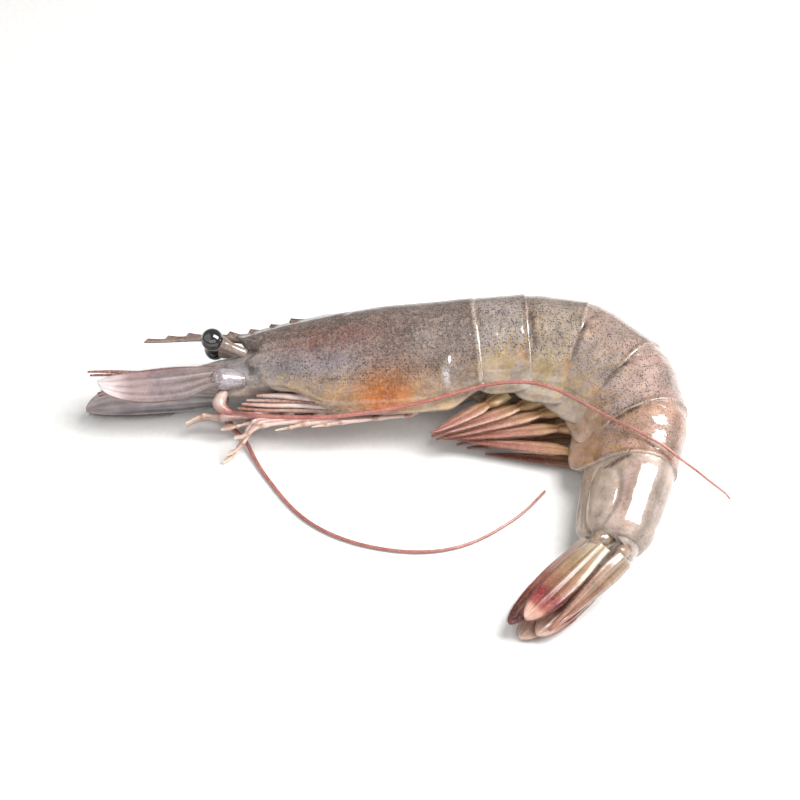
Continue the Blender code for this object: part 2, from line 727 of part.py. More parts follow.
def swimming_legs():
    """Five pairs under the rings: a stout stem and a long flat paddle, all folded forward."""
    for side in (1, -1):
        tips = LEFT_PADDLE_TIPS if side > 0 else RIGHT_PADDLE_TIPS
        for pair in range(1, 6):
            stretch = frame(pair)
            back = mix(RING_BACKS[pair - 1], RING_BACKS[pair], 0.5)
            belly = back * BELLY_SHARE + 0.5 * MM
            out = side * (3.3, 3.3, 3.3, 3.1, 2.5)[pair - 1] * MM
            root = place(stretch, LENGTHS[pair] * 0.5, out, -belly - 0.9 * MM)
            tip = from_socket(tips[pair - 1])
            down = place(stretch, LENGTHS[pair] * 0.3, out, -belly - 2.6 * MM)
            rows = []
            steps = 9
            for step in range(steps + 1):
                t = step / steps
                spot = root * (1 - t) ** 2 + down * 2 * t * (1 - t) + tip * t * t
                ahead = (down - root) * (1 - t) + (tip - down) * t
                ahead.normalize()
                across = ahead.cross(Vector((0, 0, 1))).normalized()
                through = across.cross(ahead).normalized()
                if t < 0.3:
                    half, thick = 1.1 * MM, mix(0.62, 0.5, t / 0.3) * MM
                elif t < 0.4:
                    half, thick = 0.85 * MM, 0.4 * MM
                else:
                    u = (t - 0.4) / 0.6
                    half = 1.55 * MM * max(0.16, (1 - u**2.6) ** 0.6) * mix(0.8, 1, smooth(u * 4))
                    thick = mix(0.38, 0.24, u) * MM
                row = []
                for i in range(8):
                    angle = 2 * math.pi * i / 8
                    row.append(spot + across * half * math.cos(angle) + through * thick * math.sin(angle))
                for point in row:
                    point.z = max(point.z, 0.05 * MM)
                rows.append(row)
            loft("swimming_leg_%d_%s" % (pair, side_name(side)), rows, TAN_PADDLE)


def blade(name, root, tip, across, normal, half, sharp, crown):
    """One blade of the fan, from its root to its rounded tip."""
    centres, acrosses, halves = [], [], []
    steps = 12
    for step in range(steps + 1):
        t = step / steps
        centres.append(root + (tip - root) * t)
        acrosses.append((across, normal))
        halves.append(half * leaf_shape(t, 0.45, 0.45, sharp))
    leaf(name, centres, acrosses, halves, FAN_THICKNESS, RED_TAIL, crown)


def tail_fan():
    """A pointed telson over two oar-like blades on each side, closed like a folded umbrella."""
    stretch = frame(7)
    steps = 12
    centres, acrosses, halves = [], [], []
    for step in range(steps + 1):
        t = step / steps
        centres.append(place(stretch, mix(1.7 * MM, TELSON_LENGTH, t), 0, mix(5.0, 4.7, t) * MM))
        acrosses.append((stretch[2], stretch[3]))
        halves.append(TELSON_HALF_WIDTH * (1 - 0.9 * t**1.7) * mix(0.85, 1, smooth(t * 5)))
    leaf("telson", centres, acrosses, halves, FAN_THICKNESS * 1.3, RED_TAIL, 0.3)
    # The left blades hang beside the telson, and the right ones lie flat under it on the table.
    for kind, label, out0, up0, out1, up1, lean_deg in (
        (0, "inner", 3.5, 2.0, 3.1, 1.6, 58),
        (1, "outer", 3.2, -1.9, 2.9, -1.2, 74),
    ):
        lean = math.radians(lean_deg)
        across = stretch[2] * math.cos(lean) - stretch[3] * math.sin(lean)
        normal = stretch[2] * math.sin(lean) + stretch[3] * math.cos(lean)
        root = place(stretch, 2.6 * MM, out0 * MM, up0 * MM)
        tip = place(stretch, PADDLE_LENGTHS[kind], out1 * MM, up1 * MM)
        half = PADDLE_HALF_WIDTHS[kind] * (1 - 0.1 * kind)
        blade("uropod_%s_left" % label, root, tip, across, normal, half, 0.4, 0.12)
    tailward = Vector((stretch[1].x, stretch[1].y, 0)).normalized()
    level = Vector((-tailward.y, tailward.x, 0))
    for kind, label, out0, high0, out1, high1 in (
        (0, "inner", 1.2, 3.6, 1.6, 2.0),
        (1, "outer", -1.2, 2.3, -0.6, 0.75),
    ):
        root = beside(stretch, 2.9 * MM, out0 * MM, high0 * MM)
        tip = beside(stretch, PADDLE_LENGTHS[kind] * 0.97, out1 * MM, high1 * MM)
        half = PADDLE_HALF_WIDTHS[kind]
        blade("uropod_%s_right" % label, root, tip, level, Vector((0, 0, 1)), half, 0.6, 0.04)


clear_scene()
body = trunk()
eyes()
antennal_scales()
antennules()
antennae(body)
maxillipeds()
walking_legs()
swimming_legs()
tail_fan()
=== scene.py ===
import math

import bpy
import numpy as np
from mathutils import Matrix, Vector, noise
from mathutils.bvhtree import BVHTree


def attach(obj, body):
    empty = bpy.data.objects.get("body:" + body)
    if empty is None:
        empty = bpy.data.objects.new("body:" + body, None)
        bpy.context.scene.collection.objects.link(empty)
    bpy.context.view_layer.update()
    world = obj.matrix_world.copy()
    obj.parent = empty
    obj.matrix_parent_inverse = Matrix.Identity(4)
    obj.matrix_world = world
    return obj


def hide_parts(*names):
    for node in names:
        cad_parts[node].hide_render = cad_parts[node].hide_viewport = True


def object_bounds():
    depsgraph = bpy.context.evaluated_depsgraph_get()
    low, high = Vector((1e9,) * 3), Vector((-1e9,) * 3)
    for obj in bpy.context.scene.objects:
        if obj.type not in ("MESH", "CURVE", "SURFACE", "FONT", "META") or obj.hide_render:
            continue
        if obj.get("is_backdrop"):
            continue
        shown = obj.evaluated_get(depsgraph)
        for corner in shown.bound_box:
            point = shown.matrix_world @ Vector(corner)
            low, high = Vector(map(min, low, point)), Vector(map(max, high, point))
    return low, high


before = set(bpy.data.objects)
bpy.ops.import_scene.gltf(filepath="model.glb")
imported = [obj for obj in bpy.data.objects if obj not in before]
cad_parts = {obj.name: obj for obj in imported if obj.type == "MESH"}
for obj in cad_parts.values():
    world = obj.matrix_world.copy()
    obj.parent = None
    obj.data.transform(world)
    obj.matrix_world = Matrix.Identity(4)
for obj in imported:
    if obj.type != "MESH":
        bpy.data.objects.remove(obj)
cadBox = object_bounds()
mm = 0.001
print("frame loaded")

# A raw prawn in its shell, wet, lying on its right side. A place on it is (along, left, dorsal):
# towards the tail, towards the animal's left, which faces up, and towards its back.
bodyPlan = {
    "socket": (-30.2, 22.05),
    "lengths": (45, 9.8, 10.8, 11.6, 10.2, 10.0, 15.8, 24),
    "headings": (5, 3, -12, -46, -78, -102, -106, -136),
    "rolls": (32, 33, 37, 42, 45, 46, 46, 32),
    "jointHeights": (9.6, 11.2, 11.5, 11.7, 11.6, 10.8, 9.4, 6.8, 2.4),
    "widths": (8.4, 8.5, 8.3, 8.0, 7.4, 6.8, 5.6),
    "backs": (10.2, 10.4, 10.4, 10.2, 9.6, 8.8, 6.8),
    "archPower": 2.3,
    "bellyShare": 0.74,
    "edgeTuck": 0.13,
}


def mix(a, b, t):
    return a + (b - a) * t


def smooth(t):
    t = min(1.0, max(0.0, t))
    return t * t * (3 - 2 * t)


def hump(x, middle, reach):
    return math.exp(-(((x - middle) / reach) ** 2))


def bell(values, middle, reach):
    return np.exp(-(((values - middle) / reach) ** 2))  # hump over an array


def waver(*spot):
    return noise.noise(Vector(spot))


def unitCircle(k, count):
    angle = 2 * math.pi * k / count
    return math.cos(angle), math.sin(angle)


def linear(text):
    # A six-digit sRGB hex colour as linear red, green, blue and one
    parts = [int(text[i : i + 2], 16) / 255 for i in (1, 3, 5)]
    return (*[c / 12.92 if c <= 0.04045 else ((c + 0.055) / 1.055) ** 2.4 for c in parts], 1.0)


def tone(text):
    return np.array(linear(text)[:3])


def drawn(colour, text, share):
    return colour + (tone(text) - colour) * share


def blend(stops, t):
    # A colour at t along (place, colour) stops
    for (a, one), (b, two) in zip(stops, stops[1:]):
        if t <= b:
            share = smooth((t - a) / max(1e-6, b - a))
            return tone(one) * (1 - share) + tone(two) * share
    return tone(stops[-1][1])


def chainPoints():
    x, y = bodyPlan["socket"]
    heights = bodyPlan["jointHeights"]
    points = [Vector((x, y, heights[0]))]
    for length, heading, height in zip(bodyPlan["lengths"], bodyPlan["headings"], heights[1:]):
        x += length * math.cos(math.radians(heading))
        y += length * math.sin(math.radians(heading))
        points.append(Vector((x, y, height)))
    return points


chain = chainPoints()  # millimetres, as every length below until a mesh is made


def stretchAxes(index):
    origin = chain[index]
    tailward = (chain[index + 1] - origin).normalized()
    outward = Vector((0, 0, 1)).cross(tailward).normalized()
    upward = tailward.cross(outward)
    turn = math.radians(bodyPlan["rolls"][index])
    left = upward * math.cos(turn) - outward * math.sin(turn)
    dorsal = outward * math.cos(turn) + upward * math.sin(turn)
    return origin, tailward, left, dorsal


def place(stretch, along, left, dorsal):
    origin, tailward, leftward, backward = stretch
    return origin + tailward * along + leftward * left + backward * dorsal


def beside(stretch, along, outward, height):
    origin, tailward = stretch[:2]
    level = Vector((-tailward.y, tailward.x, 0)).normalized()
    spot = origin + tailward * along + level * outward
    spot.z = height
    return spot


def fromSocket(spot):
    return Vector((bodyPlan["socket"][0] + spot[0], bodyPlan["socket"][1] + spot[1], spot[2]))


headAxes = stretchAxes(0)
trunkShell = ("shell", "shell", ("trunk",))  # finish, slot and the CAD nodes it stands for
sideNames = {1: "left", -1: "right"}


def knotsAt(stretch, spots, side=1):
    # (place, radius) knots from (along, left, dorsal, radius) spots
    return [(place(stretch, a, side * b, c), r) for a, b, c, r in spots]


def named(word, side):
    return word + sideNames[side].capitalize()


def sideNode(word, side):
    return ("%s_%s" % (word, sideNames[side]),)


# Materials


def addNode(tree, kind, settings=None, links=None):
    made = tree.nodes.new("ShaderNode" + kind)

    def socket(key):
        if isinstance(key, int):
            return made.inputs[key]
        return next(s for s in made.inputs if s.name == key and s.enabled)

    for key, value in (settings or {}).items():
        if key == "stops":
            for element, (spot, colour) in zip(made.color_ramp.elements, value):
                element.position = spot
                element.color = linear(colour)
        elif isinstance(key, str) and hasattr(made, key):
            setattr(made, key, value)
        else:
            socket(key).default_value = linear(value) if isinstance(value, str) else value
    for key, source in (links or {}).items():
        tree.links.new(source, socket(key))
    return next(s for s in made.outputs if s.enabled)


def newMaterial(name):
    made = bpy.data.materials.new(name)
    made.use_nodes = True
    tree = made.node_tree
    addNode(tree, "TexCoord")
    return made, tree, tree.nodes["Principled BSDF"].inputs, tree.nodes[-1].outputs["Object"]


plainLook = {
    # sizes of the clouds, grain, pigment cells and swells in millimetres
    "cloud": 2.0, "cloudAmount": 0.4, "fine": 0.4, "fineAmount": 0.3, "cell": 0.5, "dotAmount": 0.5,
    "rough": (0.25, 0.45), "swell": 1.2, "bump": 0.3, "bumpHeight": 0.15, "coat": 0.5, "fleshDepth": 0.6,
    "dotPatch": 1.1, "dotReach": (0.24, 0.5), "wetPatch": 3.0, "pits": 0.4, "coatBump": 0.45,
    "ior": 1.5, "specular": 0.3, "coatIor": 1.7, "fleshRadius": (1.0, 0.55, 0.4),
}


def wetFinish(name, **changes):
    # One build for chitin, flesh and bristle: the painted tint of each place, clouded, dotted with
    # pigment cells, pitted, and wet
    look = {**plainLook, **changes}
    made, tree, sockets, spot = newMaterial(name)
    base = addNode(tree, "Attribute", {"attribute_name": "tint"})
    addNode(tree, "Attribute", {"attribute_name": "dots"})
    dots = tree.nodes[-1].outputs["Fac"]
    details = {"cloud": 3.0, "fine": 4.0, "dotPatch": 2.0, "wetPatch": 2.0, "swell": 2.0}
    cloud, fine, sizes, wet, swells = (
        addNode(tree, "TexNoise", {"Scale": 1 / (look[word] * mm), "Detail": detail}, {"Vector": spot})
        for word, detail in details.items()
    )
    cells = addNode(
        tree, "TexVoronoi", {"Scale": 1 / (look["cell"] * mm), "Randomness": 0.8}, {"Vector": spot}
    )
    noiseSpan = {"From Min": 0.3, "From Max": 0.7}
    reach, rough = (
        addNode(tree, "MapRange", {**noiseSpan, "To Min": low, "To Max": high}, {"Value": value})
        for value, (low, high) in ((sizes, look["dotReach"]), (wet, look["rough"]))
    )
    reach = addNode(tree, "Math", {"operation": "MULTIPLY"}, {0: reach, 1: dots})
    inside = addNode(tree, "Math", {"operation": "SUBTRACT"}, {0: reach, 1: cells})
    for word, value, low, high, how in (
        ("cloud", cloud, 0.35, 0.68, "MULTIPLY"),
        ("fine", fine, 0.45, 0.7, "MIX"),
        ("dot", inside, -0.06, 0.06, "MIX"),
    ):
        limits = {"From Min": low, "From Max": high, "To Min": 0.0, "To Max": look[word + "Amount"]}
        share = addNode(tree, "MapRange", limits, {"Value": value})
        layer = {"data_type": "RGBA", "blend_type": how, "B": look[word + "Tint"]}
        base = addNode(tree, "Mix", layer, {"Factor": share, "A": base})
    pits = addNode(tree, "Math", {"operation": "MULTIPLY", 1: look["pits"]}, {0: fine})
    heights = addNode(tree, "Math", {"operation": "MULTIPLY_ADD", 1: 1.0}, {0: swells, 2: pits})
    bump, coatBump = (
        addNode(tree, "Bump", {"Strength": strength, "Distance": look["bumpHeight"] * mm}, {"Height": height})
        for strength, height in ((look["bump"], heights), (look["bump"] * look["coatBump"], swells))
    )
    joined = {"Base Color": base, "Roughness": rough, "Normal": bump, "Coat Normal": coatBump}
    for word, source in joined.items():
        tree.links.new(source, sockets[word])
    for word, key in (
        ("IOR", "ior"), ("Specular IOR Level", "specular"), ("Coat IOR", "coatIor"), ("Coat Weight", "coat"),
        ("Coat Roughness", "coatRough"), ("Subsurface Weight", "flesh"), ("Subsurface Radius", "fleshRadius"),
    ):
        sockets[word].default_value = look[key]
    sockets["Subsurface Scale"].default_value = look["fleshDepth"] * mm
    return made


finishes = {
    # Thin chitin over pale flesh: milky depth, clouded grey-beige, blue-black pigment dots, wet gloss
    "shell": wetFinish(
        "wetChitinShell", cloud=3.4, cloudAmount=0.55, cloudTint="#8f8780", fine=0.6, fineAmount=0.18,
        fineTint="#c4ab92", cell=0.41, dotAmount=0.8, dotTint="#28252b", swell=2.2, bump=0.45, bumpHeight=0.3,
        coat=0.75, coatRough=0.05, flesh=0.12, fleshDepth=1.6,
    ),
    # Soft limb chitin: pink-white and less glossy
    "limb": wetFinish(
        "softLimbChitin", cloudTint="#c79a92", fineTint="#e3cfc6", dotTint="#8a4a44", coatRough=0.12,
        flesh=0.3, fleshDepth=0.8,
    ),
    # Whip chitin: thin, ringed, rust pink
    "whip": wetFinish(
        "ringedWhipChitin", cloud=3.0, cloudAmount=0.5, cloudTint="#b07468", fine=0.3, fineTint="#cf9a8e",
        cell=0.4, dotTint="#7a2f2a", rough=(0.3, 0.45), swell=0.8, bumpHeight=0.08, coat=0.4, coatRough=0.15,
        flesh=0.1, fleshDepth=0.5,
    ),
    # Blade chitin: thin horny sheets with a hard wet shine
    "blade": wetFinish(
        "thinBladeChitin", cloud=2.6, cloudTint="#a08d86", fine=0.5, fineAmount=0.12, fineTint="#c9aea0",
        dotAmount=0.4, dotTint="#4a3636", swell=1.6, coatRough=0.1, flesh=0.15,
    ),
    # Paddle chitin: the swimming legs, soft and only damp
    "paddle": wetFinish(
        "softPaddleChitin", cloud=1.8, cloudTint="#b08c70", fineAmount=0.15, fineTint="#dcc0a8", cell=0.45,
        dotAmount=0.35, dotTint="#6a4434", rough=(0.35, 0.55), bumpHeight=0.12, coat=0.2, coatRough=0.2,
        flesh=0.2,
    ),
    # Eye: a black glassy dome whose facets only show as a soft sheen
    "eye": wetFinish(
        "blackFacetedCornea", cloud=1.5, cloudAmount=0.5, cloudTint="#5a4a44", fine=0.25, fineAmount=0.25,
        fineTint="#2a2426", cell=0.22, dotAmount=0.6, dotTint="#050506", rough=(0.12, 0.25), swell=0.4,
        bump=0.2, bumpHeight=0.03, coat=1.0, coatRough=0.04, flesh=0.0, fleshDepth=1.6,
    ),
}
print("finishes made")


studio = {
    "pigment": 0.58,  # the share of the palette's brightness that is the surface's own
    "target": (-0.0001, 0.01595, 0.008),
    "down": 48.0,
    "distance": 0.42,
    "lens": 98.3, "sensor": 36, "nearest": 0.01,
    "room": 0.37,
    "lamps": (
        # place, width and height, watts
        ((0.178, -0.005, 0.25), (0.14, 0.30), 2.2),
        ((-0.45, -0.10, 0.45), (0.8, 0.8), 2.0),
        ((0.05, -0.75, 0.42), (1.2, 0.5), 3.2),
    ),
}


# Meshes


def makePiece(name, points, faces, tints, dots, finish, slot, nodes):
    mesh = bpy.data.meshes.new(name)
    spots = np.array(points, dtype=np.float64).reshape(-1, 3) * mm
    spots[:, 2] = np.maximum(spots[:, 2], 0.02 * mm)  # it lies on the table
    mesh.from_pydata(spots.tolist(), [], faces)
    tint = mesh.attributes.new("tint", "FLOAT_COLOR", "POINT")
    colours = np.ones((len(spots), 4), dtype=np.float32)
    colours[:, :3] = np.clip(np.array(tints, dtype=np.float32).reshape(-1, 3) * studio["pigment"], 0, 1)
    tint.data.foreach_set("color", colours.ravel())
    dot = mesh.attributes.new("dots", "FLOAT", "POINT")
    dot.data.foreach_set("value", np.array(dots, dtype=np.float32).ravel())
    mesh.polygons.foreach_set("use_smooth", [True] * len(mesh.polygons))
    mesh.materials.append(finishes[finish])
    mesh.update()
    piece = bpy.data.objects.new(name, mesh)
    bpy.context.scene.collection.objects.link(piece)
    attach(piece, "root")
    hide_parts(*nodes)


def closedLoft(name, rows, tints, dots, finish, slot, nodes):
    # Rows of as many points each, closed around, with a fan of faces over both ends
    grid = np.array([[tuple(p) for p in row] for row in rows], dtype=np.float64)
    n, m = grid.shape[:2]
    tintGrid = np.zeros((n, m, 3)) + np.array(tints)
    dotGrid = np.zeros((n, m)) + np.array(dots)
    first, last, end = n * m, n * m + 1, (n - 1) * m
    around = [(j, (j + 1) % m) for j in range(m)]
    faces = [(i + j, i + k, i + m + k, i + m + j) for i in range(0, end, m) for j, k in around]
    for j, k in around:
        faces += [(first, k, j), (last, end + j, end + k)]
    spots, colours = (
        np.concatenate([values.reshape(-1, 3), values[0].mean(axis=0)[None], values[-1].mean(axis=0)[None]])
        for values in (grid, tintGrid)
    )
    marks = np.concatenate([dotGrid.ravel(), [dotGrid[0].mean()], [dotGrid[-1].mean()]])
    # Turn the faces out where the rows run the other way round
    here, after = grid[n // 2], grid[min(n - 1, n // 2 + 1)]
    a, b, c = here[0], here[m // 4], here[m // 2]
    if np.dot(np.cross(b - a, c - b), after.mean(axis=0) - here.mean(axis=0)) < 0:
        faces = [tuple(reversed(face)) for face in faces]
    makePiece(name, spots, faces, colours, marks, finish, slot, nodes)


def paintZones(base, zones, along, turn):
    # The base colour over a grid of places, drawn towards each zone's colour about its middle
    colour = np.ones(along.shape + (3,)) * tone(base)
    for tint, middle, reach, level, spread, strength in zones:
        share = strength * bell(along, middle, reach) * bell(turn, level, spread)
        colour = drawn(colour, tint, np.clip(share, 0, 1)[..., None])
    return colour


def band(values, low, high, soft):
    # 1 between low and high, fading to 0 over soft outside
    rise = np.clip((values - low + soft) / soft, 0, 1)
    fall = np.clip((high + soft - values) / soft, 0, 1)
    return rise * rise * (3 - 2 * rise) * fall * fall * (3 - 2 * fall)


sectionDetail = {"arch": 64, "side": 20, "belly": 12}


def archPoint(i, count):
    # (left, dorsal, turn) on the arch over the back, of half width and height one
    angle = math.pi * i / count
    c, power = math.cos(angle), 2 / bodyPlan["archPower"]
    return math.copysign(abs(c) ** power, c), max(0.0, math.sin(angle)) ** power, 1 - 2 * i / count


def plateSection(width, back, hang, rightHang, thickness=0.7):
    # Over the back and down both side plates, then along the belly: (left, dorsal, turn).
    # The turn is 0 on the back, 1 at the widest, 2 at the hem and 3 beneath, and negative on the right.
    tuck = bodyPlan["edgeTuck"]
    belly = back * bodyPlan["bellyShare"]
    side, arch, count = (sectionDetail[word] for word in ("side", "arch", "belly"))
    falls = [i / side for i in range(1, side + 1)]
    points = [(width * (1 - tuck * t * t), -(belly + hang) * t, 1 + t) for t in reversed(falls)]
    for i in range(arch + 1):
        left, dorsal, turn = archPoint(i, arch)
        points.append((width * left, back * dorsal, turn))
    points += [(-width * (1 - tuck * t * t), -(belly + rightHang) * t, -1 - t) for t in falls]
    inner = width * (1 - tuck) - thickness
    below = [
        (-inner, -belly - rightHang * 0.88), (-inner + 0.3, -belly), (-inner * 0.45, -belly - 0.5),
        (inner * 0.45, -belly - 0.5), (inner - 0.3, -belly), (inner, -belly - hang * 0.88),
    ]
    for i in range(count + 1):
        f = i / count * (len(below) - 1)
        k = min(len(below) - 2, int(f))
        x, y = (mix(a, b, f - k) for a, b in zip(below[k], below[k + 1]))
        points.append((x, y, -3.0 if x < 0 else 3.0))
    return points


def plateGrid(stations, sizes, edges, relief):
    # Places (along, left, dorsal) and turns of a plate's rows. sizes(t) gives half width, back and
    # both hangs, edges(turn) its front and rear end, and relief(along, turn) how far it stands out.
    alongs, sections = [], []
    for step in range(stations + 1):
        t = step / stations
        section = plateSection(*sizes(t))
        alongs.append([mix(*edges(abs(turn)), t) for _, _, turn in section])
        sections.append(section)
    along = np.array(alongs)
    left, dorsal, turn = np.moveaxis(np.array(sections), 2, 0)
    out = relief(along, turn)
    far = np.maximum(0.5, np.hypot(left, dorsal))
    return along, left * (1 + out / far), dorsal * (1 + out / far), turn


def plateWorld(stretch, along, left, dorsal):
    origin, *axes = (np.array(axis) for axis in stretch)
    tailward, leftward, backward = (
        values[..., None] * axis for values, axis in zip((along, left, dorsal), axes)
    )
    return origin + tailward + leftward + backward


def noiseGrid(across, down, seed):
    return np.array([[waver(a, b, seed) for a, b in zip(*row)] for row in zip(across, down)])


def roll(along, turn, size, seed):
    # Slow random swells over a grid, between -1 and 1
    return noiseGrid(along / size, turn * 7 / size, seed)


def streaked(tint, along, side, seed, amount):
    # Muscle bands seen through the shell: long soft stripes aslant, ochre between grey
    stripe = noiseGrid((along + side * 7) / 0.8, (along - side * 7) / 6.5, seed * 3.0)
    for share, colour in ((stripe * 2.2, "#bd9a55"), (-stripe * 1.6, "#948a88")):
        tint = drawn(tint, colour, (np.clip(share, 0, 1) * amount)[..., None])
    return tint


# Abdomen: six rings, each over the front of the next


rings = {
    "lobes": (2.2, 3.2, 3.6, 3.6, 5.0, 0.7),
    "flare": 0.07,
    "sink": 0.3,
    "frontLap": 1.0,
    "rearTuck": 34.0,
    "stations": 48,
    "swell": 0.07,
    "bases": ("#a3968f", "#a69686", "#b2988b", "#c8a699", "#cc9e86", "#d4c0b2"),
    "rim": "#d9c9ba",
    "rimLine": "#6a4a2c",
    "hinge": "#42180a",
    "lobe": "#baa898",
    "flesh": "#b0914c",
    "dots": (1.0, 0.95, 0.9, 0.9, 0.8, 0.45),
    "cheek": (8.6, 6.6, 1.12, 0.42),  # the oval on each side of the last ring: middle and reach, both ways
}


def lobeShape(t):
    return 0.12 + 0.88 * max(0.0, 1 - abs(2 * t - 1) ** 3) ** 0.5


def ringSwell(t):
    return mix(-rings["sink"], 0, smooth(t / 0.22)) + rings["flare"] * smooth((t - 0.72) / 0.28)


def platePaint(tint, along, turn, size, seed):
    # Uneven in tone, and painted shade: a little darker on the right side that lies on the table
    shade = 1 + size[1] * roll(along, turn, size[0], seed) - 0.14 * band(-turn, 0.1, 2.2, 0.3)
    return tint * shade[..., None]


def ringPlate(index):
    length = bodyPlan["lengths"][index]
    widths, backs = bodyPlan["widths"], bodyPlan["backs"]

    def sizes(t):
        if index < 6:
            swell = ringSwell(t)
        else:
            swell = ringSwell(min(t, 0.7)) - rings["rearTuck"] * max(0, t - 0.82) ** 2
        hang = rings["lobes"][index - 1] * lobeShape(t)
        width, back = (mix(spans[index - 1], spans[index], t) + swell for spans in (widths, backs))
        return width, back, hang, hang

    def relief(along, turn):
        side = np.abs(turn)
        out = rings["swell"] * roll(along, turn, 3.2, index * 5.0)
        out -= 0.03 * bell(along, length - 0.8, 0.4) + 0.2 * np.clip((along - length - 0.1) / 0.25, 0, 1) ** 2
        out += 0.07 * bell(along, length - 0.7, 0.6) * bell(side, 1.12, 0.09)  # hinge knob
        out -= 0.14 * bell(side, 1.62, 0.05) * band(along, 1.5, length - 1.5, 1)  # hem of the lobe
        out += 0.16 * bell(side, 1.97, 0.05)
        if index == 6:
            middle, reach, level, spread = rings["cheek"]
            oval = ((along - middle) / reach) ** 2 + ((side - level) / spread) ** 2
            out += 0.5 * np.clip(1 - oval, 0, 1) ** 0.6 - 0.28 * bell(oval, 1.15, 0.22)
        return np.where(side > 2.5, 0, out)

    edges = lambda turn: (-rings["frontLap"], length + 0.35 * math.sin(min(2, turn) * math.pi / 2))
    along, left, dorsal, turn = plateGrid(rings["stations"], sizes, edges, relief)
    side = np.abs(turn)
    middle = length * 0.5
    hinged = 1.0 if index > 1 else 0
    tint = paintZones(rings["bases"][index - 1], (
        ("#8b7f7c", middle, length * 0.45, 0.1, 0.5, 0.5),
        ("#4f4340", middle, length, 0.0, 0.07, 0.35),
        ("#d9b998", middle, length * 2, 3.0, 0.4, 1.0),
        (rings["flesh"], length * 0.45, length * 0.4, 1.45, 0.32, 0.55 if index < 5 else 0.25),
        (rings["lobe"], middle, length, 2.0, 0.3, 0.8),
        (rings["rimLine"], length - 0.5, 0.3, 0.8, 0.7, 0.6),
        (rings["rimLine"], 0.5, 0.5, 1.0, 0.8, 0.35),
        (rings["rim"], length + 0.25, 0.22, 0.9, 1.4, 0.75),
        ("#d9b890", 2.1, 0.9, 0.73, 0.1, 0.55 * hinged),
        *[(rings["hinge"], 0.7 + 0.45 * k, 0.55, 0.68 + 0.08 * k, 0.06, hinged) for k in range(5)],
        (rings["hinge"], length - 0.8, 0.65, 1.33, 0.07, 1.0),
        ("#c88a50", length - 1.6, 0.8, 1.28, 0.12, 0.5),
        ("#b08476", middle, length * 0.6, 0.45, 0.25, 0.6 if index == 6 else 0),
        # Rings 4 and 5 are painted a paler pink on their lower sides to lift the shade there: painted light
        ("#e6b89e", middle, length * 0.6, 1.75, 0.4, 0.65 if index in (4, 5) else 0),
        # On ring 2 a near-white streak along the rear edge at the side: a painted highlight. On ring 1 a dark
        # brown line there
        ("#fbf4ec" if index == 2 else "#6a4226", length - 0.1, 0.22, 1.0, 0.3, 0.9 if index < 3 else 0),
        ("#e3d6c8", middle, length, 2.08, 0.09, 0.9),
        ("#b9863e", length - 1.6, 1.0, 1.3, 0.2, 0.35),
    ), along, side)
    tint = platePaint(tint, along, turn, (2.0, 0.16), 40 + index)
    tint = streaked(tint, along, side, index, 0.6 * band(side, 0.95, 2.1, 0.35) * (0.35 if index == 6 else 1))
    dots = rings["dots"][index - 1] * (1 - 0.85 * band(side, 1.55, 3.2, 0.5))
    spots = plateWorld(stretchAxes(index), along, left, dorsal)
    closedLoft("ring%dPlate" % index, spots, tint, dots, *trunkShell)


def ringFront(index, steps=32, arch=72):
    # The smooth front of a ring that shows where the body bends
    before, after = stretchAxes(index - 1), stretchAxes(index)
    lastOne = index == 7
    hinge = chain[index] - before[1] * (1.3 if lastOne else 0)
    sink = 1.5 if lastOne else rings["sink"] + 0.05
    width = bodyPlan["widths"][index - 1] - sink
    back = bodyPlan["backs"][index - 1] - sink
    section = [archPoint(i, arch) for i in range(arch + 1)]
    rows = []
    for step in range(steps + 1):
        t = step / steps
        swing = math.radians(mix(12, -12, t))
        tailward, leftward, backward = (
            (a * (1 - t) + b * t).normalized() for a, b in zip(before[1:], after[1:])
        )
        spoke = backward * math.cos(swing) - tailward * math.sin(swing)
        row = []
        for i, (left, dorsal, _) in enumerate(section):
            reach = 1 - 0.012 * waver(i / 5, step / 4, index)
            row.append(hinge + (leftward * width * left + spoke * back * dorsal) * reach)
        rows.append(row)
    side = np.abs([[turn for _, _, turn in section]] * len(rows))
    zones = (("#8b7f7c", 0, 9, 0.0, 0.5, 0.5), (rings["rimLine"], 0, 9, 1.0, 0.15, 0.5))
    plate = min(6, index) - 1
    tint = paintZones(rings["bases"][plate], zones, side * 0, side)
    closedLoft("ring%dFront" % index, rows, tint, rings["dots"][plate] * 0.9, *trunkShell)


for index in range(1, 7):
    ringPlate(index)
    ringFront(index)


ringFront(7)
print("rings made")


# Head and breast shield, with the spike


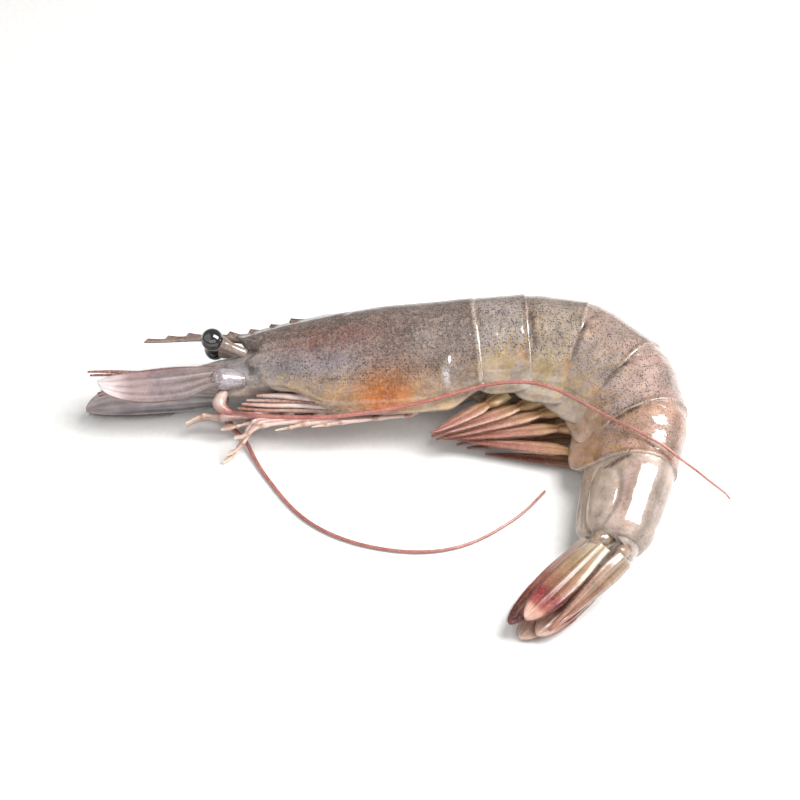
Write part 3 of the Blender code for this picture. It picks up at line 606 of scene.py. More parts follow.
carapace = {
    "length": 45.0,
    "headWidth": 5.0,
    "headBack": 5.6,
    "headTaper": 0.62,
    "lobe": 4.8,
    "pressedLobe": 2.2,
    "lobeStart": 1.0,
    "lobeRise": 12.0,
    "stations": 150,
    # how far back the front edge lies, from the back (0) down to the hem (2)
    "edge": (
        (0, -1.2), (0.25, 0.2), (0.5, 3.0), (0.75, 3.4), (0.95, 0.2), (1.12, 2.3), (1.5, 2.7), (1.8, 4.0),
        (2, 6.5), (3, 6.5),
    ),
    "base": "#837063",
    "zones": (
        # colour, place from the socket, reach, turn, reach of turn, strength
        ("#7d6f70", 30, 30, 0.5, 0.8, 0.5),
        ("#4a3c3a", 20, 40, 0.0, 0.07, 0.4),
        # The belly beneath the shield is painted pale to lift the shade under its hem: painted light
        ("#f2dac4", 12, 40, 3.0, 0.4, 1.0),
        ("#c0a68a", 22, 22, 2.0, 0.5, 0.8),
        ("#b98040", 21, 14, 1.75, 0.5, 0.5),
        ("#bc6a02", 26.6, 5.8, 1.72, 0.45, 0.9),
        ("#bc6000", 26.8, 3.8, 1.8, 0.3, 1.0),
        ("#dcb88e", 35, 6.0, 2.05, 0.24, 0.85),
        ("#efe0cc", 34, 4.5, 2.12, 0.16, 0.85),
        # A pale blue-white wedge over the fold near the rear: a painted highlight
        ("#f0f0f8", 38.3, 0.55, 1.46, 0.12, 0.8),
        ("#4a4450", 39.2, 0.3, 1.46, 0.12, 0.7),
        ("#9c928f", 4, 4.0, 1.2, 0.8, 0.6),
        ("#6a4c3e", 14, 9, 1.93, 0.05, 0.7),
        ("#f0e6e0", 16, 11, 2.06, 0.07, 0.9),
        ("#7c3a28", 16, 12, 0.78, 0.24, 0.6),
        ("#8e8ea4", 14, 12, 1.15, 0.22, 0.4),
        ("#d8c6b6", 44.9, 0.35, 1.0, 1.6, 0.8),
        ("#5d4436", 44.0, 0.35, 1.0, 1.6, 0.5),
    ),
}


def carapaceSizes(s):
    t = max(0.0, min(1.0, s / carapace["length"]))
    full = math.sin(math.pi / 2 * min(1.0, t / 0.72)) ** carapace["headTaper"]
    return (
        mix(carapace["headWidth"], bodyPlan["widths"][0], full),
        mix(carapace["headBack"], bodyPlan["backs"][0], full),
    )


def bellyDepth(s):
    return carapaceSizes(s)[1] * bodyPlan["bellyShare"] + 0.5


def shield():
    end = carapace["length"] + 0.5
    places, setbacks = zip(*carapace["edge"])

    def sizes(t):
        s = mix(1.5, end, t**1.15)
        width, back = carapaceSizes(s)
        swell = rings["flare"] * smooth((t - 0.93) / 0.07)
        rear = 1 - 0.7 * smooth((t - 0.8) / 0.2)
        hang = carapace["lobe"] * max(0.12, smooth((s - carapace["lobeStart"]) / carapace["lobeRise"])) * rear
        pressed = carapace["pressedLobe"] * smooth(t / 0.15) * rear
        return width + swell, back + swell, hang, pressed

    def relief(along, turn):
        side = np.abs(turn)
        out = 0.12 * roll(along, turn, 5.0, 2.0) + 0.03 * roll(along, turn, 1.6, 9.0)
        groove = 24 - 9 * side - 1.5 * np.sin(side * 3)  # runs down and forward over the gut
        out -= 0.16 * bell(along, groove, 1.1) * band(side, 0.25, 1.3, 0.25)
        out -= 0.22 * bell(side - 0.004 * along, 1.42, 0.045) * band(along, 9, 21, 3)
        out += 0.20 * bell(side, 1.95, 0.05) - 0.16 * bell(side, 1.84, 0.04)
        fold = 38.4 - 2.2 * (side - 1.5)
        out += 0.34 * bell(along, fold, 0.55) * band(side, 1.3, 1.75, 0.18)
        out += 0.2 * bell(along, fold - 2.2, 0.4) * bell(side, 1.58, 0.08)
        out += 0.45 * bell(side, 0, 0.06) * band(along, -2, 16, 6)  # crest behind the spike
        out -= 0.04 * bell(along, 44.1, 0.4) + 0.2 * np.clip((along - 45.2) / 0.3, 0, 1) ** 2
        return np.where(side > 2.5, 0, out)

    edges = lambda turn: (float(np.interp(turn, places, setbacks)), end)
    along, left, dorsal, turn = plateGrid(carapace["stations"], sizes, edges, relief)
    side = np.abs(turn)
    tint = paintZones(carapace["base"], carapace["zones"], along, side)
    edge = along - np.interp(side, places, setbacks)
    tint *= (1 - 0.55 * bell(edge, 0.5, 0.35) * band(side, 0.3, 2, 0.1))[..., None]
    tint = platePaint(tint, along, turn, (2.4, 0.14), 50)
    tint = streaked(tint, along, side, 0, 0.5 * band(side, 1.5, 2.1, 0.3) * (1 - band(along, 21, 31, 2)))
    dots = (1.0 - 0.5 * band(side, 1.75, 3.2, 0.45)) * (0.45 + 0.55 * band(along, 6, 60, 5))
    spots = plateWorld(headAxes, along, left, dorsal)
    closedLoft("carapaceShield", spots, tint, dots, *trunkShell)


head = {
    "base": "#a79d9c",
    "rows": (
        # place from the socket, half width, half height, level
        (6, 4.6, 4.6, -0.8), (3, 4.5, 4.7, -0.8), (0, 4.1, 4.3, -0.9),
        (-3, 3.6, 3.9, -1.1), (-6, 3.0, 3.3, -1.0), (-9, 2.2, 2.6, -0.8),
    ),
    "zones": (
        ("#c9c4c6", 0, 3, 0.1, 0.45, 0.8), ("#4d3a32", -3.4, 0.35, 0, 0.9, 0.6),
        # The pale #f0dccc underside of the head front is painted light, lifting the shade beneath it
        ("#4d3a32", 1.2, 0.3, -0.1, 0.5, 0.6), ("#f0dccc", -1, 8, -0.9, 0.45, 0.8),
        ("#8a6a50", -6.4, 0.5, -0.3, 0.6, 0.5), ("#6b5a58", -7.6, 1.0, 0.6, 0.5, 0.5),
    ),
    "stubStops": ((0, "#9a969c"), (0.4, "#b4b2ba"), (0.62, "#8c8288"), (0.8, "#746462"), (1, "#a09898")),
}
scales = {
    "root": -5.0, "tip": -28.0, "out": 5.0, "rise": -2.0, "rightDrop": 1.0, "half": 3.5, "thickness": 0.5,
}


def headFront(steps=60, sides=64):
    places, *columns = zip(*reversed(head["rows"]))
    circle = [unitCircle(i, sides) for i in range(sides)]
    alongs = [mix(places[-1], places[0], step / steps) for step in range(steps + 1)]
    rows = []
    for s in alongs:
        width, back, level = (float(np.interp(s, places, column)) for column in columns)
        row = []
        for i, (c, d) in enumerate(circle):
            socket = 0.9 * hump(s, -2.2, 2.2) * hump(abs(math.degrees(math.atan2(d, abs(c)))), 48, 22)
            lumps = 0.12 * waver(s / 1.6, i / 6, 3) + 0.1 * math.sin(s * 2.1) * hump(d, -0.2, 0.5)
            row.append(place(headAxes, s, c * (width - socket + lumps), d * (back - socket + lumps) + level))
        rows.append(row)
    level, along = np.meshgrid([d for _, d in circle], alongs)
    tint = paintZones(head["base"], head["zones"], along, level)
    closedLoft("headFront", rows, tint, 0.6, *trunkShell)
    root, out, rise = (scales[word] for word in ("root", "out", "rise"))
    stub = ((-0.5, 2.2, rise, 1.9), (root + 0.2, out - 0.7, rise, 2.05), (root - 1.6, out - 0.35, rise, 0.9))
    for side in (1, -1):
        line = smoothLine(knotsAt(headAxes, stub, side), 10)
        tubePiece(named("scaleBase", side), line, 28, head["stubStops"], "limb", "shell", ("trunk",))


spike = {
    "root": 13.0, "tip": -19.0, "rise": 7.0, "depth": 1.5, "thickness": 1.0, "teeth": 8, "tooth": 0.95,
    "base": "#8d776c", "edge": "#5e362b",
}


def rostrum(toothSteps=14, sides=32):
    rows, tints = [], []
    steps = spike["teeth"] * toothSteps
    base, rim = tone(spike["base"]), tone(spike["edge"])
    for step in range(steps + 1):
        t = step / steps
        s = mix(spike["root"], spike["tip"], t)
        bodyBack = carapaceSizes(max(0, s))[1]
        rib = mix(bodyBack - 0.6, spike["rise"] + 0.4, smooth(t * 1.35))
        deep = spike["depth"] * (1 - t) ** 0.6 + 0.15
        saw = (step % toothSteps) / toothSteps
        tooth = (saw / 0.8) ** 1.6 if saw < 0.8 else max(0.0, 1 - (saw - 0.8) / 0.14)
        tooth *= spike["tooth"] * (1 - 0.45 * t) * (0 if step in (0, steps) else 1)
        thick = spike["thickness"] * (1 - 0.75 * t) / 2
        top, bottom = rib + deep * 0.6 + tooth, rib - deep * 0.8
        row, tintRow = [], []
        for i in range(sides):
            up, level = unitCircle(i, sides)
            high = mix(rib, top, up) if up > 0 else mix(rib, bottom, -up)
            slim = math.copysign(abs(level) ** 1.3, level) * thick
            row.append(place(headAxes, s, slim * (1 + 0.35 * hump(up, 0.0, 0.18)), high))
            edge = smooth((abs(up) - 0.55) / 0.45)
            tintRow.append(base * (1 - edge) + rim * edge)
        rows.append(row)
        tints.append(tintRow)
    closedLoft("rostrumSpike", rows, tints, 0.7, *trunkShell)


# Round limbs


def smoothLine(knots, steps):
    # Points and radii of a Catmull-Rom line through (place, radius) knots
    line = []
    for i in range(len(knots) - 1):
        before = knots[max(0, i - 1)][0]
        start, end = knots[i][0], knots[i + 1][0]
        after = knots[min(len(knots) - 1, i + 2)][0]
        a, b = (end - before) * 0.5, (after - start) * 0.5
        for step in range(steps):
            t = step / steps
            spot = (
                start * (2 * t**3 - 3 * t**2 + 1)
                + a * (t**3 - 2 * t**2 + t)
                + end * (3 * t**2 - 2 * t**3)
                + b * (t**3 - t**2)
            )
            line.append((spot, mix(knots[i][1], knots[i + 1][1], t)))
    line.append(knots[-1])
    return line


def tubeRows(line, sides, flat=1.0, uneven=0.09):
    # Rings of points about a line, carried along without twist
    rows = []
    across = None
    for i, (spot, size) in enumerate(line):
        ahead = (line[min(len(line) - 1, i + 1)][0] - line[max(0, i - 1)][0]).normalized()
        if across is None:
            across = ahead.cross(Vector((0, 0, 1)))
            if across.length < 0.1:
                across = ahead.cross(Vector((0, 1, 0)))
        across = (across - ahead * across.dot(ahead)).normalized()
        through = ahead.cross(across)
        row = []
        for k in range(sides):
            c, s = unitCircle(k, sides)
            way = (across * c + through * flat * s) * size
            row.append(spot + way * (1 + uneven * waver(*(spot + way) / 1.1)))
        rows.append(row)
    return rows


def tubePiece(name, line, sides, look, finish, slot, nodes, flat=1.0, dotShare=0.3):
    # The look is a row of colour stops, or a function of the share of the length
    paint = look if callable(look) else lambda t: blend(look, t)
    rows = tubeRows(line, sides, flat)
    tints = [[paint(i / (len(rows) - 1))] for i in range(len(rows))]
    closedLoft(name, rows, tints, dotShare, finish, slot, nodes)


def bristles(name, hairs, tint, slot, nodes, sag=0.15):
    # Fine bristles in one mesh, each a three-sided cone of (root, way, length, radius) that sags a little
    points, faces = [], []
    for root, way, length, radius in hairs:
        across = way.orthogonal().normalized()
        through = way.cross(across)
        first = len(points)
        for share, wide in ((0, 1), (0.5, 0.65)):
            centre = root + way * length * share - Vector((0, 0, sag * length * share * share))
            for c, s in (unitCircle(k, 3) for k in range(3)):
                points.append(centre + (across * c + through * s) * radius * wide)
        points.append(root + way * length - Vector((0, 0, sag * length)))
        for k in range(3):
            j = (k + 1) % 3
            faces.append((first + k, first + j, first + 3 + j, first + 3 + k))
            faces.append((first + 3 + k, first + 3 + j, first + 6))
        faces.append((first + 2, first + 1, first))
    makePiece(name, points, faces, [tone(tint)] * len(points), [0.2] * len(points), "whip", slot, nodes)


eyeSpec = {
    "place": (-5.5, 4.6, 5.8), "root": (0.5, 1.6, 3.0), "radius": 2.2, "black": "#141214",
    "stalkStops": ((0, "#b9a49c"), (0.6, "#8f7a70"), (1, "#5d4a44")),
}


def eyes(steps=24, sides=40):
    radius = eyeSpec["radius"]
    for side in (1, -1):
        (centre, _), (root, _) = knotsAt(headAxes, ((*eyeSpec["place"], 0), (*eyeSpec["root"], 0)), side)
        out = (centre - root).normalized()
        across = out.orthogonal().normalized()
        through = out.cross(across)
        rows = []
        for i in range(1, steps):
            angle = math.pi * i / steps
            middle, reach = centre - out * radius * math.cos(angle), radius * math.sin(angle)
            circle = (unitCircle(k, sides) for k in range(sides))
            rows.append([middle + (across * c + through * s) * reach for c, s in circle])
        node = sideNode("eye", side)
        closedLoft(named("eyeDome", side), rows, tone(eyeSpec["black"]), 0.6, "eye", "eye", node)
        knots = [(root, 1.0), (mix(root, centre, 0.4), 1.05)]
        knots += [(centre - out * back, size) for back, size in ((1.75, 1.5), (1.35, 1.62))]
        tubePiece(named("eyeStalk", side), smoothLine(knots, 5), 24, eyeSpec["stalkStops"],
                  *trunkShell)


antennule = {
    "stem": ((-9.4, 1.3, 0.4, 0.85), (-13, 1.5, 0.8, 0.95), (-17, 1.5, 1.0, 0.75), (-20, 1.5, 1.0, 0.6),
             (-25, 1.7, 1.8, 0.3), (-30, 1.9, 2.2, 0.2)),
    "lower": ((-19, 1.5, 0.8, 0.4), (-24, 1.5, -0.9, 0.3), (-28.5, 1.4, -2.2, 0.2)),
    "stops": ((0, "#c9a49a"), (0.5, "#a8786e"), (1, "#8a4a40")),
}


def antennules():
    for side in (1, -1):
        node = sideNode("antennule", side)
        for word, spots in (("antennuleStem", antennule["stem"]), ("antennuleLower", antennule["lower"])):
            line = smoothLine(knotsAt(headAxes, spots, side), 8)
            tubePiece(named(word, side), line, 16, antennule["stops"], "limb", "limb", node)


whip = {
    "radii": (0.55, 0.3),
    "stem": ((-4.2, 2.4, -4.1, 0.9), (-5.2, 3.2, -6.2, 1.35), (-4.6, 3.6, -7.6, 1.0),
             (-2.6, 4.2, -8.8, 0.6)),
    "rightStemEnd": (-2.4, -7.4, 1.3), "lift": 0.95, "slimmed": 0.78,
    "overBody": (
        (2.7, -13.2, 11.5), (9.5, -13.9, 11.8), (16.4, -14.0, 12.0), (23.3, -13.2, 12.2),
        (30.1, -12.0, 12.6), (36, -10.8, 13.2), (42, -9.2, 14.0), (48.5, -8.0, 14.8),
        (55, -8.2, 15.2), (60.3, -10.6, 15.4), (66, -15.6, 15.8), (71, -21.2, 17.0),
        (76, -25.6, 17.6), (82, -28.0, 15.5), (87.5, -28.8, 10.5), (91.5, -28.6, 5.6),
    ),
    "onTable": (
        (0.3, -10.6, 1.0), (3.7, -17.6, 0.5), (11.3, -28.5, 0.5), (20.8, -34.7, 0.5),
        (32.9, -37.2, 0.5), (43.1, -35.2, 0.5), (52.2, -28.9, 0.5), (57.6, -22.6, 0.5),
    ),
    "stops": ((0, "#e2d2c8"), (0.07, "#d9c2b6"), (0.14, "#bc746a"), (0.6, "#b66c64"), (1, "#c48c80")),
}


def drape(line, lift, overhead=50, under=6):
    # Raise the points that are under the body's surface, or too close over it
    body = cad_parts["trunk"].data
    corners = [corner.co.copy() for corner in body.vertices]
    body = BVHTree.FromPolygons(corners, [tuple(face.vertices) for face in body.polygons])
    raised = []
    for spot, size in line:
        top = 0.0
        for i in range(9):
            reach = 0 if i == 8 else lift
            angle = math.pi / 4 * i
            x, y = spot.x + reach * math.cos(angle), spot.y + reach * math.sin(angle)
            hit = body.ray_cast(Vector((x, y, overhead)) * mm, Vector((0, 0, -1)))[0]
            if hit and spot.z > hit.z / mm - under:
                top = max(top, hit.z / mm + lift)
        raised.append([spot, size, max(spot.z, top)])
    for _ in range(6):
        heights = [entry[2] for entry in raised]
        for i in range(1, len(raised) - 1):
            raised[i][2] = max(heights[i], (heights[i - 1] + heights[i + 1]) / 2 - 0.02)
    return [(Vector((spot.x, spot.y, height)), size) for spot, size, height in raised]


def antennae():
    for side, plan in ((1, whip["overBody"]), (-1, whip["onTable"])):
        stem = knotsAt(headAxes, whip["stem"], side)
        if side < 0:
            stem[3] = (fromSocket(whip["rightStemEnd"]), stem[3][1])
        radii = [mix(*whip["radii"], (i + 1) / len(plan)) for i in range(len(plan))]
        line = smoothLine(stem + list(zip(map(fromSocket, plan), radii)), 3)
        bare = 3 * (len(stem) - 1)  # the part of the line before the last stem knot
        if side > 0:
            line = line[:bare] + drape(line[bare:], whip["lift"])
        line = line[:bare] + [(spot, size * whip["slimmed"]) for spot, size in line[bare:]]
        line = smoothLine(line, 6)
        tubePiece(named("antennaWhip", side), line, 12, whip["stops"], "whip", "whip",
                  sideNode("antenna", side), dotShare=0.5)


legs = {
    # from the first pair to the last; lanes, depths, reaches and drops for the left and the right
    "places": (10, 16, 22, 28, 34),
    "lanes": {1: (1.0, 2.05, 3.1, 4.15, 5.2), -1: (-0.2, -1.4, -2.55, -3.7, -4.9)},
    "depths": {1: (10.1, 10.7, 11.3, 11.9, 12.4), -1: (9.9, 9.8, 9.7, 9.6, 9.5)},
    "reaches": {1: (9, 14, 19, 17, 16), -1: (9, 14, 17, 17, 16)},
    "drops": {1: (7.6, 5.8, 2.3, 1.0, 0.6), -1: (1.2, 0.6, 0.1, -0.2, -0.3)},
    "beyond": (6.5, 6.5, 6.0, 6.0, 6.0),
    "radius": 0.45,
    # The legs are painted near white, lighter than their own pale pink, to lift the shade they lie in:
    # painted light
    "stops": ((0, "#f2e2d4"), (0.3, "#eec8bc"), (0.5, "#fbe0d6"), (0.75, "#f0cdb8"), (1, "#fff2d8")),
    "rootStops": ((0, "#c5a88c"), (0.3, "#fbeee0"), (0.6, "#f0cdbc"), (0.75, "#a8664e"), (1, "#f4d8ca")),
    "mark": "#b06a50",
}


def jointed(knots, steps, joints):
    # A smooth line through the knots, swollen at its joints and slimmer between them
    line = smoothLine(knots, steps)
    shaped = []
    for i, (spot, size) in enumerate(line):
        bulge = max(hump(i, joint * steps, 1.3) for joint in joints)
        shaped.append((spot, size * (0.9 + 0.38 * bulge)))
    return shaped


def jointPaint(joints, count):
    def paint(t):
        mark = max(hump(t * count, joint + 0.12, 0.09) for joint in joints)
        return drawn(blend(legs["stops"], t), legs["mark"], 0.7 * mark)
    return paint


def walkingLegs():
    joints = (1, 2, 3, 4)
    for side in (1, -1):
        for pair in range(5):
            lane, depth, reach, drop = (
                legs[word][side][pair] for word in ("lanes", "depths", "reaches", "drops")
            )
            root, beyond = legs["places"][pair], legs["beyond"][pair]
            wrist = root - reach
            belly = -bellyDepth(root)
            places = [
                (root, belly - 0.3, 0.95), (root - 2.0, 0.5 - depth, 1.0), (root - reach * 0.55, -depth, 0.9),
                (wrist, -depth - 0.2, 0.92), (wrist - beyond * 0.5, -depth - drop * 0.62, 0.72),
            ]
            if pair < 3:
                places.append((wrist - beyond * 0.72, -depth - drop * 0.85, 0.9))
            places.append((wrist - beyond, -depth - drop * (1 if pair < 3 else 0.9), 0.3))
            knots = []
            for along, dorsal, share in places:
                spot = place(headAxes, along, lane, dorsal)
                size = legs["radius"] * share
                spot.z = max(spot.z, size + 0.05)
                knots.append((spot, size))
            name = named(str(pair + 1), side)
            node = sideNode("leg_%d" % (pair + 1), side)
            line = jointed(knots, 12, joints)
            paint = jointPaint(joints, len(knots) - 1)
            tubePiece("walkingLeg" + name, line, 16, paint, "limb", "limb", node, flat=1.15)
            # The broad first segments, side by side against the belly
            blocks = knotsAt(headAxes, (
                (root + 1.2, lane, belly - 0.1, 0.6), (root - 0.6, lane, belly - 0.9, 1.15),
                (root - 3.0, lane, 0.45 - depth, 0.95), (root - 4.8, lane, 0.1 - depth, 0.5),
            ))
            if blocks[1][0].z > 1.4:
                tubePiece("legRoot" + name, smoothLine(blocks, 8), 20, legs["rootStops"],
                          "limb", "limb", node, flat=0.6)
            if pair < 3:  # the second finger of the pincer
                palm, point = knots[5][0], knots[6][0]
                aside = (point - palm).cross(Vector((0, 0, 1))).normalized() * 0.34
                bend = mix(palm, point, 0.55) + aside * 1.3
                line = smoothLine([(palm + aside * 0.4, 0.3), (bend, 0.2), (point + aside, 0.07)], 6)
                paint = lambda t: blend(legs["stops"], 0.75 + t / 4)
                tubePiece("pincer" + name, line, 10, paint, "limb", "limb", node)


mouth = {
    "limb": ((7.0, 1.5, -bellyDepth(7.0) - 0.9, 0.5), (2.0, 1.5, -8.8, 0.55), (-5.0, 1.3, -8.7, 0.52),
             (-8.5, 1.2, -8.3, 0.45), (-12.0, 1.1, -9.4, 0.2)),
    "fringe": "#c8ab9a",
    "lobes": (
        # lane to the left, start and end along, depth at both, radius, colours
        # The lobes' pale colours are painted lighter than their own, to lift the shade under the hem: painted
        # light
        (5.6, 22.0, 2.0, -8.6, -5.6, 0.7,
         ((0, "#c8a488"), (0.4, "#f8ecea"), (0.8, "#e8d0c8"), (1, "#b48a70"))),
        (5.0, 25.0, 0.0, -9.9, -6.2, 0.5,
         ((0, "#8a5638"), (0.3, "#b8866c"), (0.6, "#9c6450"), (1, "#d8b4a0"))),
        (4.5, 27.0, -1.0, -10.6, -6.9, 0.6,
         ((0, "#f0dcd0"), (0.5, "#fff6f0"), (0.85, "#e8c8bc"), (1, "#b47a64"))),
        (3.6, 24.0, -2.0, -11.0, -7.6, 0.5, ((0, "#d0a890"), (0.5, "#dcb4a4"), (1, "#a86c54"))),
        (2.2, 15.0, -1.0, -9.4, -7.4, 0.6, ((0, "#d0a890"), (0.5, "#e8ccc0"), (1, "#b07a60"))),
    ),
}


def mouthLimbs(steps=14, bare=18):
    joints = (1, 2, 3)
    for side in (1, -1):
        node = sideNode("maxilliped", side)
        line = jointed(knotsAt(headAxes, mouth["limb"], side), steps, joints)
        tubePiece(named("mouthLimb", side), line, 16, jointPaint(joints, 4), "limb", "limb", node, flat=1.3)
        hairs = []
        for i in range(bare, len(line) - 1):
            spot, size = line[i]
            ahead = (line[i + 1][0] - spot).normalized()
            level = ahead.cross(Vector((0, 0, 1))).normalized()
            for sign in (1, -1):
                way = level * sign * 0.9 + ahead * 0.7 + Vector((0, 0, 0.3 * math.sin(i * 2.3)))
                hairs.append((spot + level * sign * size * 0.8, way.normalized(), 0.8, 0.04))
        bristles(named("mouthFringe", side), hairs, mouth["fringe"], "limb", node)


def mouthParts(steps=5):
    # The palps and gill edges that run forward under the shield's hem
    for side in (1, -1):
        for number, (lane, start, end, low, high, size, stops) in enumerate(mouth["lobes"]):
            if side < 0 and lane > 3:
                continue
            spots = []
            for i in range(steps + 1):
                t = i / steps
                depth = mix(low, high, t) + 0.12 * math.sin(i * 2.1 + number)
                swell = 0.3 + 0.7 * math.sin(math.pi * min(1, 0.1 + t * 0.85))
                spots.append((mix(start, end, t), mix(lane, lane * 0.62, t), depth, size * swell))
            line = smoothLine(knotsAt(headAxes, spots, side), 10)
            tubePiece(named("mouthLobe%d" % number, side), line, 18, stops, "limb", "limb",
                      sideNode("maxilliped", side), flat=0.9)


shield()
headFront()
rostrum()
print("head made")
mouthParts()
eyes()
antennules()
antennae()
walkingLegs()
mouthLimbs()
print("round limbs made")


# Thin blades


def leafShape(t, root, full, sharp):
    body = mix(root, 1, smooth(t / full)) if t < full else 1
    end = max(0.0, 1 - ((t - sharp) / (1 - sharp)) ** 2) ** 0.5 if t > sharp else 1
    return max(0.1, body * end)


def bladePiece(name, spine, crown, thickness, paint, ribs, slot, nodes, count=30):
    # A blade through (centre, across, normal, half width): its upper face, then its under face.
    # Each rib is (place across, reach, height) and stands out of both faces.
    rows, tints = [], []
    for i, (centre, across, normal, half) in enumerate(spine):
        t = i / (len(spine) - 1)
        row, tintRow = [], []
        for face in (1, -1):
            for k in range(count):
                u = mix(-1, 1, k / count) * face
                rise = crown * half * (1 - u * u)
                thick = thickness / 2 * (1 - u**6) ** 0.5
                relief = sum(high * hump(u, level, reach) for level, reach, high in ribs)
                relief *= smooth((1 - t) * 5)
                row.append(centre + across * half * u + normal * (rise + face * (thick + relief)))
                tintRow.append(paint(t, u))
        rows.append(row)
        tints.append(tintRow)
    closedLoft(name, rows, tints, 0.2, "blade", slot, nodes)


def lined(look, t, u, fade, seed):
    # The look's colour at t, with fibres, and its lengthwise lines of (place across, reach, colour, strength)
    colour = blend(look["stops"], t)
    colour = colour * (1 + 0.4 * waver(u * 8, t * 2.5, seed) + 0.12 * waver(u * 20, t * 4, seed))
    for level, reach, tint, share in look["lines"]:
        wander = 0.05 * waver(t * 4, level * 9, seed)
        colour = drawn(colour, tint, 0.75 * share * fade * hump(u, level + wander, reach))
    return colour


def edgeHairs(spine, sign, start, end, count, length, radius, seed):
    # Bristles along one edge of a blade, leaning towards its tip
    hairs = []
    for i in range(count):
        t = mix(start, end, i / (count - 1))
        k = min(len(spine) - 2, int(t * (len(spine) - 1)))
        (centre, across, normal, half), (after, _, _, halfAfter) = spine[k : k + 2]
        ahead = (after - centre).normalized()
        jitter = waver(i * 1.7, seed, 0.5)
        way = across * sign * (0.8 + 0.3 * jitter) + ahead * (0.9 + 0.8 * t) + normal * 0.25 * jitter
        f = t * (len(spine) - 1) - k
        spot = mix(centre, after, f) + across * sign * mix(half, halfAfter, f) * 0.97
        hairs.append((spot, way.normalized(), length * (1 + 0.35 * jitter), radius))
    return hairs


scaleLook = {
    "ribs": ((0.3, 0.1, 0.12), (-0.5, 0.08, -0.08), (0.02, 0.08, -0.06), (-0.2, 0.08, 0.05),
             (0.9, 0.08, 0.06)),
    1: {
        "stops": ((0, "#8e7d76"), (0.2, "#9a8b88"), (0.45, "#988689"), (0.7, "#b89c9b"), (0.88, "#fbe6e6"),
                  (1, "#ffffff")),
        "lines": ((-0.7, 0.06, "#d8ceca", 0.5), (-0.5, 0.06, "#5d4e4c", 0.55), (-0.2, 0.05, "#d5cbc9", 0.4),
                  (0.02, 0.05, "#6a5a58", 0.5), (0.3, 0.07, "#dfd6d4", 0.6), (0.5, 0.05, "#75605a", 0.5)),
        "edge": "#8a3f2c", "rim": "#8a7672", "fringe": "#b59a94", "hair": 0.7,
    },
    -1: {
        # The right scale's colours are painted lighter than its own, to lift the shade it lies in beneath the
        # left one: painted light
        "stops": ((0, "#d2c8c4"), (0.3, "#e4dee4"), (0.7, "#d0c6cc"), (1, "#bcaaac")),
        "lines": ((-0.82, 0.12, "#241e24", 0.85), (-0.5, 0.07, "#d5d0d4", 0.6), (-0.25, 0.06, "#3c353a", 0.6),
                  (0.15, 0.08, "#c5bfc4", 0.5), (0.45, 0.05, "#4a4044", 0.5)),
        "edge": "#5a3a32", "rim": "#17141a", "fringe": "#2a2226", "hair": 1.2,
    },
}


def scalePaint(side, t, u):
    look = scaleLook[side]
    colour = lined(look, t, u, 1 - smooth((t - 0.72) / 0.22), 5 + side)
    colour = drawn(colour, look["edge"], smooth((u - 0.84) / 0.12) * (1 - smooth((t - 0.8) / 0.15)))
    return drawn(colour, look["rim"], 0.6 * smooth((-u - 0.88) / 0.1))


def antennalScales(steps=72):
    leftward, backward = headAxes[2:]
    tilt = math.radians(12)
    for side in (1, -1):
        across = backward * math.cos(tilt) - leftward * side * math.sin(tilt)
        spine = []
        for step in range(steps + 1):
            t = step / steps
            half = scales["half"] * leafShape(t, 0.62, 0.35, 0.5)
            lean = scales["half"] * 0.9 - half
            along = mix(scales["root"], scales["tip"], t) - (3.5 * t if side < 0 else 0)
            rise = scales["rise"] + lean * side * 0.55
            rise += 0 if side > 0 else 0.4 * t - scales["rightDrop"]
            centre = place(headAxes, along, side * (scales["out"] - 0.9 * t), rise)
            spine.append((centre, across, leftward * side, half))
        node = sideNode("antennal_scale", side)
        bladePiece(named("antennalScale", side), spine, 0.16, scales["thickness"],
                   lambda t, u: scalePaint(side, t, u), scaleLook["ribs"], "scale", node)
        hairs = edgeHairs(spine, -1, 0.35, 0.97, 110, scaleLook[side]["hair"], 0.05, side)
        bristles(named("scaleFringe", side), hairs, scaleLook[side]["fringe"], "scale", node)


swimmers = {
    "leftTips": ((36, -15.4, 8.8), (36, -15.0, 7.5), (37, -14.6, 6.2), (38.5, -13.6, 5.1), (41, -12.8, 4.1)),
    "rightTips": ((36.5, -11.2, 3.7), (38.5, -11.6, 2.9), (41, -12.4, 2.1), (43, -12.6, 1.4),
                  (46.5, -13.6, 0.8)),
    "outs": (3.3, 3.3, 3.3, 3.1, 2.5),
    "stem": 0.42,  # the share of the length that is the stout stem
    "stemHalf": (1.95, 1.55), "stemThick": 0.75, "bladeHalf": 1.5, "bladeThick": (0.4, 0.22),
    # The near-white stem roots are painted light, lifting the shade under the ring lobes
    "stops": ((0, "#ffeeb8"), (0.3, "#e8c890"), (0.42, "#a87848"), (0.5, "#bb9068"), (0.65, "#b4806c"),
              (0.8, "#a2665a"), (1, "#8e4a42")),
    "outline": "#875632", "pale": "#dcc2a2", "fringe": "#b07c68",
}


def paddlePaint(t, c, seed, outline, pale):
    colour = blend(swimmers["stops"], t) * (1 + 0.3 * waver(c * 5, t * 3, seed))
    edge = min(1, 0.6 * smooth((abs(c) - 0.8) / 0.15) + 0.4 * hump(c, 0.02, 0.07))
    shine = 0.4 * hump(c, 0.35, 0.14)
    return colour + (outline - colour) * edge + (pale - colour) * shine * (1 - edge)


def paddleRidge(c):
    return 1 + 0.22 * hump(c, 0.3, 0.12) - 0.3 * hump(c, 0.0, 0.08) + 0.15 * hump(c, -0.5, 0.12)


